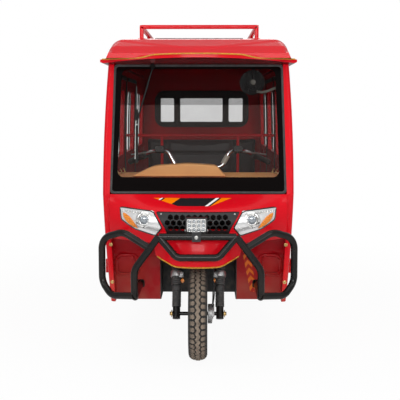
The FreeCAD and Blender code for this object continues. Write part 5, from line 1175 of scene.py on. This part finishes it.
TUBE = 0.022
rack_low, rack_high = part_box("roof_rack")
rail_x, rail_z = rack_high.x - TUBE / 2, rack_high.z - TUBE / 2
rack_front, rack_rear = rack_low.y + TUBE / 2, rack_high.y - TUBE / 2
bay = (rack_rear - rack_front) / 3
square = box_of(TUBE, TUBE, 0.003, 2)
rack = Form("welded_roof_rack")
for side in (-1, 1):
    x = rail_x * side
    rack.swept([(x, rack_front, rail_z), (x, rack_rear, rail_z)], square)
    for number in range(4):
        y = rack_front + bay * number
        foot = from_above("roof", x, y).z
        rack.swept([(x, y, foot - 0.002), (x, y, rail_z)], square, BACK)
        rack.plate(box_of(0.044, 0.036, 0.005), (x, y, foot - 0.001), ACROSS, BACK, 0.004)
low_z = rack_low.z + 0.014
for y, z in ((rack_front, rail_z), (rack_rear, rail_z), (rack_front + bay, low_z),
             (rack_front + bay * 2, low_z)):
    rack.swept([(-rail_x, y, z), (rail_x, y, z)], square)
rack.build("body", shell_paint, ["roof_rack"])

# Back wall and arches: pressed swages stiffen the sheet, rubber flares edge the wheel arches,
# and mud flaps hang behind the wheels. Two round reflectors sit above the bumper.

swages = Form("rear_wall_swages")
for z, half in ((0.500, 0.40), (0.575, 0.40), (0.900, 0.36), (1.060, 0.36)):
    swages.swept([from_behind("rear_wall", half * share, z) for share in (-1, -0.5, 0, 0.5, 1)],
                 box_of(0.020, 0.009, 0.0035), BACK)
swages.build("body", shell_paint)
ARCH = 0.290
flares, flaps = Form("wheel_arch_flares"), Form("mud_flaps")
studs = Form("mud_flap_screws")
for word, side in SIDES:
    hub = middle_of("rear_" + word + "_rim")
    turns = [math.radians(11 + 158 * step / 30) for step in range(31)]
    flares.swept(side_line("side_wall_" + word, side,
                           [(hub.y - ARCH * math.cos(turn), hub.z + ARCH * math.sin(turn))
                            for turn in turns]), box_of(0.020, 0.012, 0.005), (side, 0, 0))
    flap_y = hub.y + 0.262
    flaps.plate(box_of(0.125, 0.150, 0.012), (0.405 * side, flap_y, 0.225), ACROSS, UP, 0.006,
                0.002)
    for x in (0.36, 0.45):
        bolt(studs, (x * side, flap_y, 0.288), BACK, 0.005, 0.005)
flares.build("body", seal_rubber)
flaps.build("body", rubber)
studs.build("body", zinc)
rounds = Form("rear_reflectors")
for side in (-1, 1):
    rounds.turned([(0.024, -0.001), (0.024, 0.005), (0.021, 0.008), (0.0005, 0.0095)],
                  from_behind("rear_wall", 0.385 * side, 0.445), BACK, 36)
rounds.build("body", tail_red)

# Body sides: a folded drip gutter is welded on above the doors, and a swage is pressed into
# the sheet under the rear side window.

GUTTER_LEVEL, SWAGE_LEVEL = 1.532, 0.985
for word, side in SIDES:
    gutter = Form("drip_gutter_" + word)
    for first, pitch, count, z, section in (
            (0.56, 0.095, 24, GUTTER_LEVEL, box_of(0.014, 0.012, 0.003)),
            (1.99, 0.09, 9, SWAGE_LEVEL, box_of(0.016, 0.008, 0.003))):
        gutter.swept(side_line("side_wall_" + word, side,
                               [(guard_front + first + pitch * step, z)
                                for step in range(count)]), section, (side, 0, 0))
    gutter.build("body", shell_paint)

# Dash: one moulding of tan plastic with a leather-like grain. Brass-coloured hooks hold its
# ends to the corner panels.

tan = Finish("tan_moulded_plastic", "tan_plastic", roughness=0.5)
tan.clouded(9, 3, 0.3, 0.75, (1.0, 0.50, 0.17), (0.92, 0.43, 0.14))
tan.bump(tan.cells(420.0), 0.25, 0.0005)
tan.onto("dash")
hooks = Form("dash_hooks")
for side in (-1, 1):
    for x, depth in ((0.425, 0.520), (0.438, 0.480), (0.410, 0.545)):
        hit = from_above("dash", x * side, guard_front + depth)
        bolt(hooks, hit, UP, 0.006, 0.007)
        hooks.swept(smooth_line([hit + Vector((out * side, y, z)) for out, y, z in
                                 ((0, 0, 0.004), (0.004, 0.004, 0.018),
                                  (0.010, 0.012, 0.024), (0.012, 0.020, 0.014))], 4),
                    ring_of(0.0024, 8), (1, 0, 0.1))
hooks.build("body", brass)

# Seats: foam cushions in black vinyl with a fine grain, sewn with cross seams and a piped
# edge, glued to plywood boards. Their swell is a cloth simulation with air pressure inside.

vinyl = Finish("black_seat_vinyl", "seat_leather", roughness=0.45)
vinyl.clouded(8, 3, 0.3, 0.8, (0.014, 0.014, 0.016), (0.035, 0.034, 0.036))
vinyl.set("Roughness", 0.38 + vinyl.noise(22, 2) * 0.2)
vinyl.bump(vinyl.cells(520.0), 0.35, 0.0006)
vinyl.onto("driver_seat", "driver_backrest", "bench_seat", "bench_backrest")
SEAM_DEPTH, SEAM_WIDE, PULL_DEPTH, PULL_WIDE = 0.0085, 0.007, 0.004, 0.03
DEEPEST, SOFT_RISE, SWELL_FRAMES = 0.014, 0.002, 20
PIPING, PIPING_LEVEL, PIPING_WIDE = 0.0045, 0.62, 0.07


def settled(piece):
    """The piece's mesh with its modifiers applied."""
    view = bpy.context.evaluated_depsgraph_get()
    piece_mesh = bpy.data.meshes.new_from_object(piece.evaluated_get(view))
    piece.modifiers.clear()
    piece.data = piece_mesh
    return piece_mesh


def cushion(name, node, seams, swell, soft_axis, voxel):
    """A stuffed block in a seat's box; seams are (axis, place) pairs across its face."""
    low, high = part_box(node)
    tight = Vector((0.006, 0.006, 0.006))
    tight[soft_axis] = 0.011
    small_low, small_high = low + tight, high - tight
    block = bmesh.new()
    bmesh.ops.create_cube(block, size=1)
    for vertex in block.verts:
        vertex.co = Vector([small_low[i] + (vertex.co[i] + 0.5) * (small_high[i] - small_low[i])
                            for i in range(3)])
    bmesh.ops.bevel(block, geom=block.edges[:] + block.verts[:], offset=0.016, segments=3,
                    affect="EDGES", profile=0.5)
    mesh = bpy.data.meshes.new(name)
    block.to_mesh(mesh)
    block.free()
    piece = bpy.data.objects.new(name, mesh)
    bpy.context.scene.collection.objects.link(piece)
    remesh = piece.modifiers.new("even", "REMESH")
    remesh.mode = "VOXEL"
    remesh.voxel_size = voxel
    start = [vertex.co.copy() for vertex in settled(piece).vertices]
    cloth = piece.modifiers.new("swell", "CLOTH")
    cloth.settings.use_pressure = True
    cloth.settings.uniform_pressure_force = 4
    cloth.settings.effector_weights.gravity = 0
    cloth.settings.quality = 4
    cloth.point_cache.frame_start, cloth.point_cache.frame_end = 1, SWELL_FRAMES
    for frame_number in range(1, SWELL_FRAMES + 1):
        bpy.context.scene.frame_set(frame_number)
    blown = settled(piece)
    bpy.context.scene.frame_set(1)
    for vertex, before in zip(blown.vertices, start):
        move = vertex.co - before
        if move.length > swell:
            vertex.co = before + move * swell / move.length
    finer = piece.modifiers.new("finer", "SUBSURF")
    finer.levels = finer.render_levels = 1
    shape = settled(piece)
    middle, half = (low + high) / 2, (high - low) / 2
    for vertex in shape.vertices:
        spot = vertex.co - middle
        depth = 0.0
        for axis, place in seams:
            away = abs(vertex.co[axis] - place)
            depth += (SEAM_DEPTH * math.exp(-(away / SEAM_WIDE) ** 2)
                      + PULL_DEPTH * math.exp(-(away / PULL_WIDE) ** 2))
        level = spot[soft_axis] / half[soft_axis]
        if depth and abs(level) > 0.3:
            inward = math.copysign(min(depth, DEEPEST), level)
            spot[soft_axis] -= inward * min(1, abs(level) * 1.2)
        rim = PIPING * math.exp(-((abs(level) - PIPING_LEVEL) / PIPING_WIDE) ** 2)
        for axis in range(3):
            if axis != soft_axis and abs(spot[axis]) > half[axis] - 0.03:
                spot[axis] -= math.copysign(rim, spot[axis])
        for axis in range(3):
            limit = half[axis] + (SOFT_RISE if axis == soft_axis else 0.0)
            spot[axis] = max(-limit, min(limit, spot[axis]))
        vertex.co = middle + spot
    shape.polygons.foreach_set("use_smooth", [True] * len(shape.polygons))
    shape.materials.clear()
    shape.materials.append(vinyl.material)
    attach(piece, "body")
    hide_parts(node)


cushion("driver_cushion", "driver_seat",
        [(1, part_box("driver_seat")[1].y - 0.09), (0, -0.115), (0, 0.115)], 0.022, 2, 0.007)
low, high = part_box("driver_backrest")
cushion("driver_back_cushion", "driver_backrest", [(2, low.z + 0.10), (2, high.z - 0.10)],
        0.016, 1, 0.007)
cushion("bench_cushion", "bench_seat",
        [(0, -0.155), (0, 0.155), (1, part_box("bench_seat")[0].y + 0.11)], 0.024, 2, 0.0095)
cushion("bench_back_cushion", "bench_backrest",
        [(0, -0.155), (0, 0.155), (2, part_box("bench_backrest")[0].z + 0.15)], 0.022, 1, 0.0095)
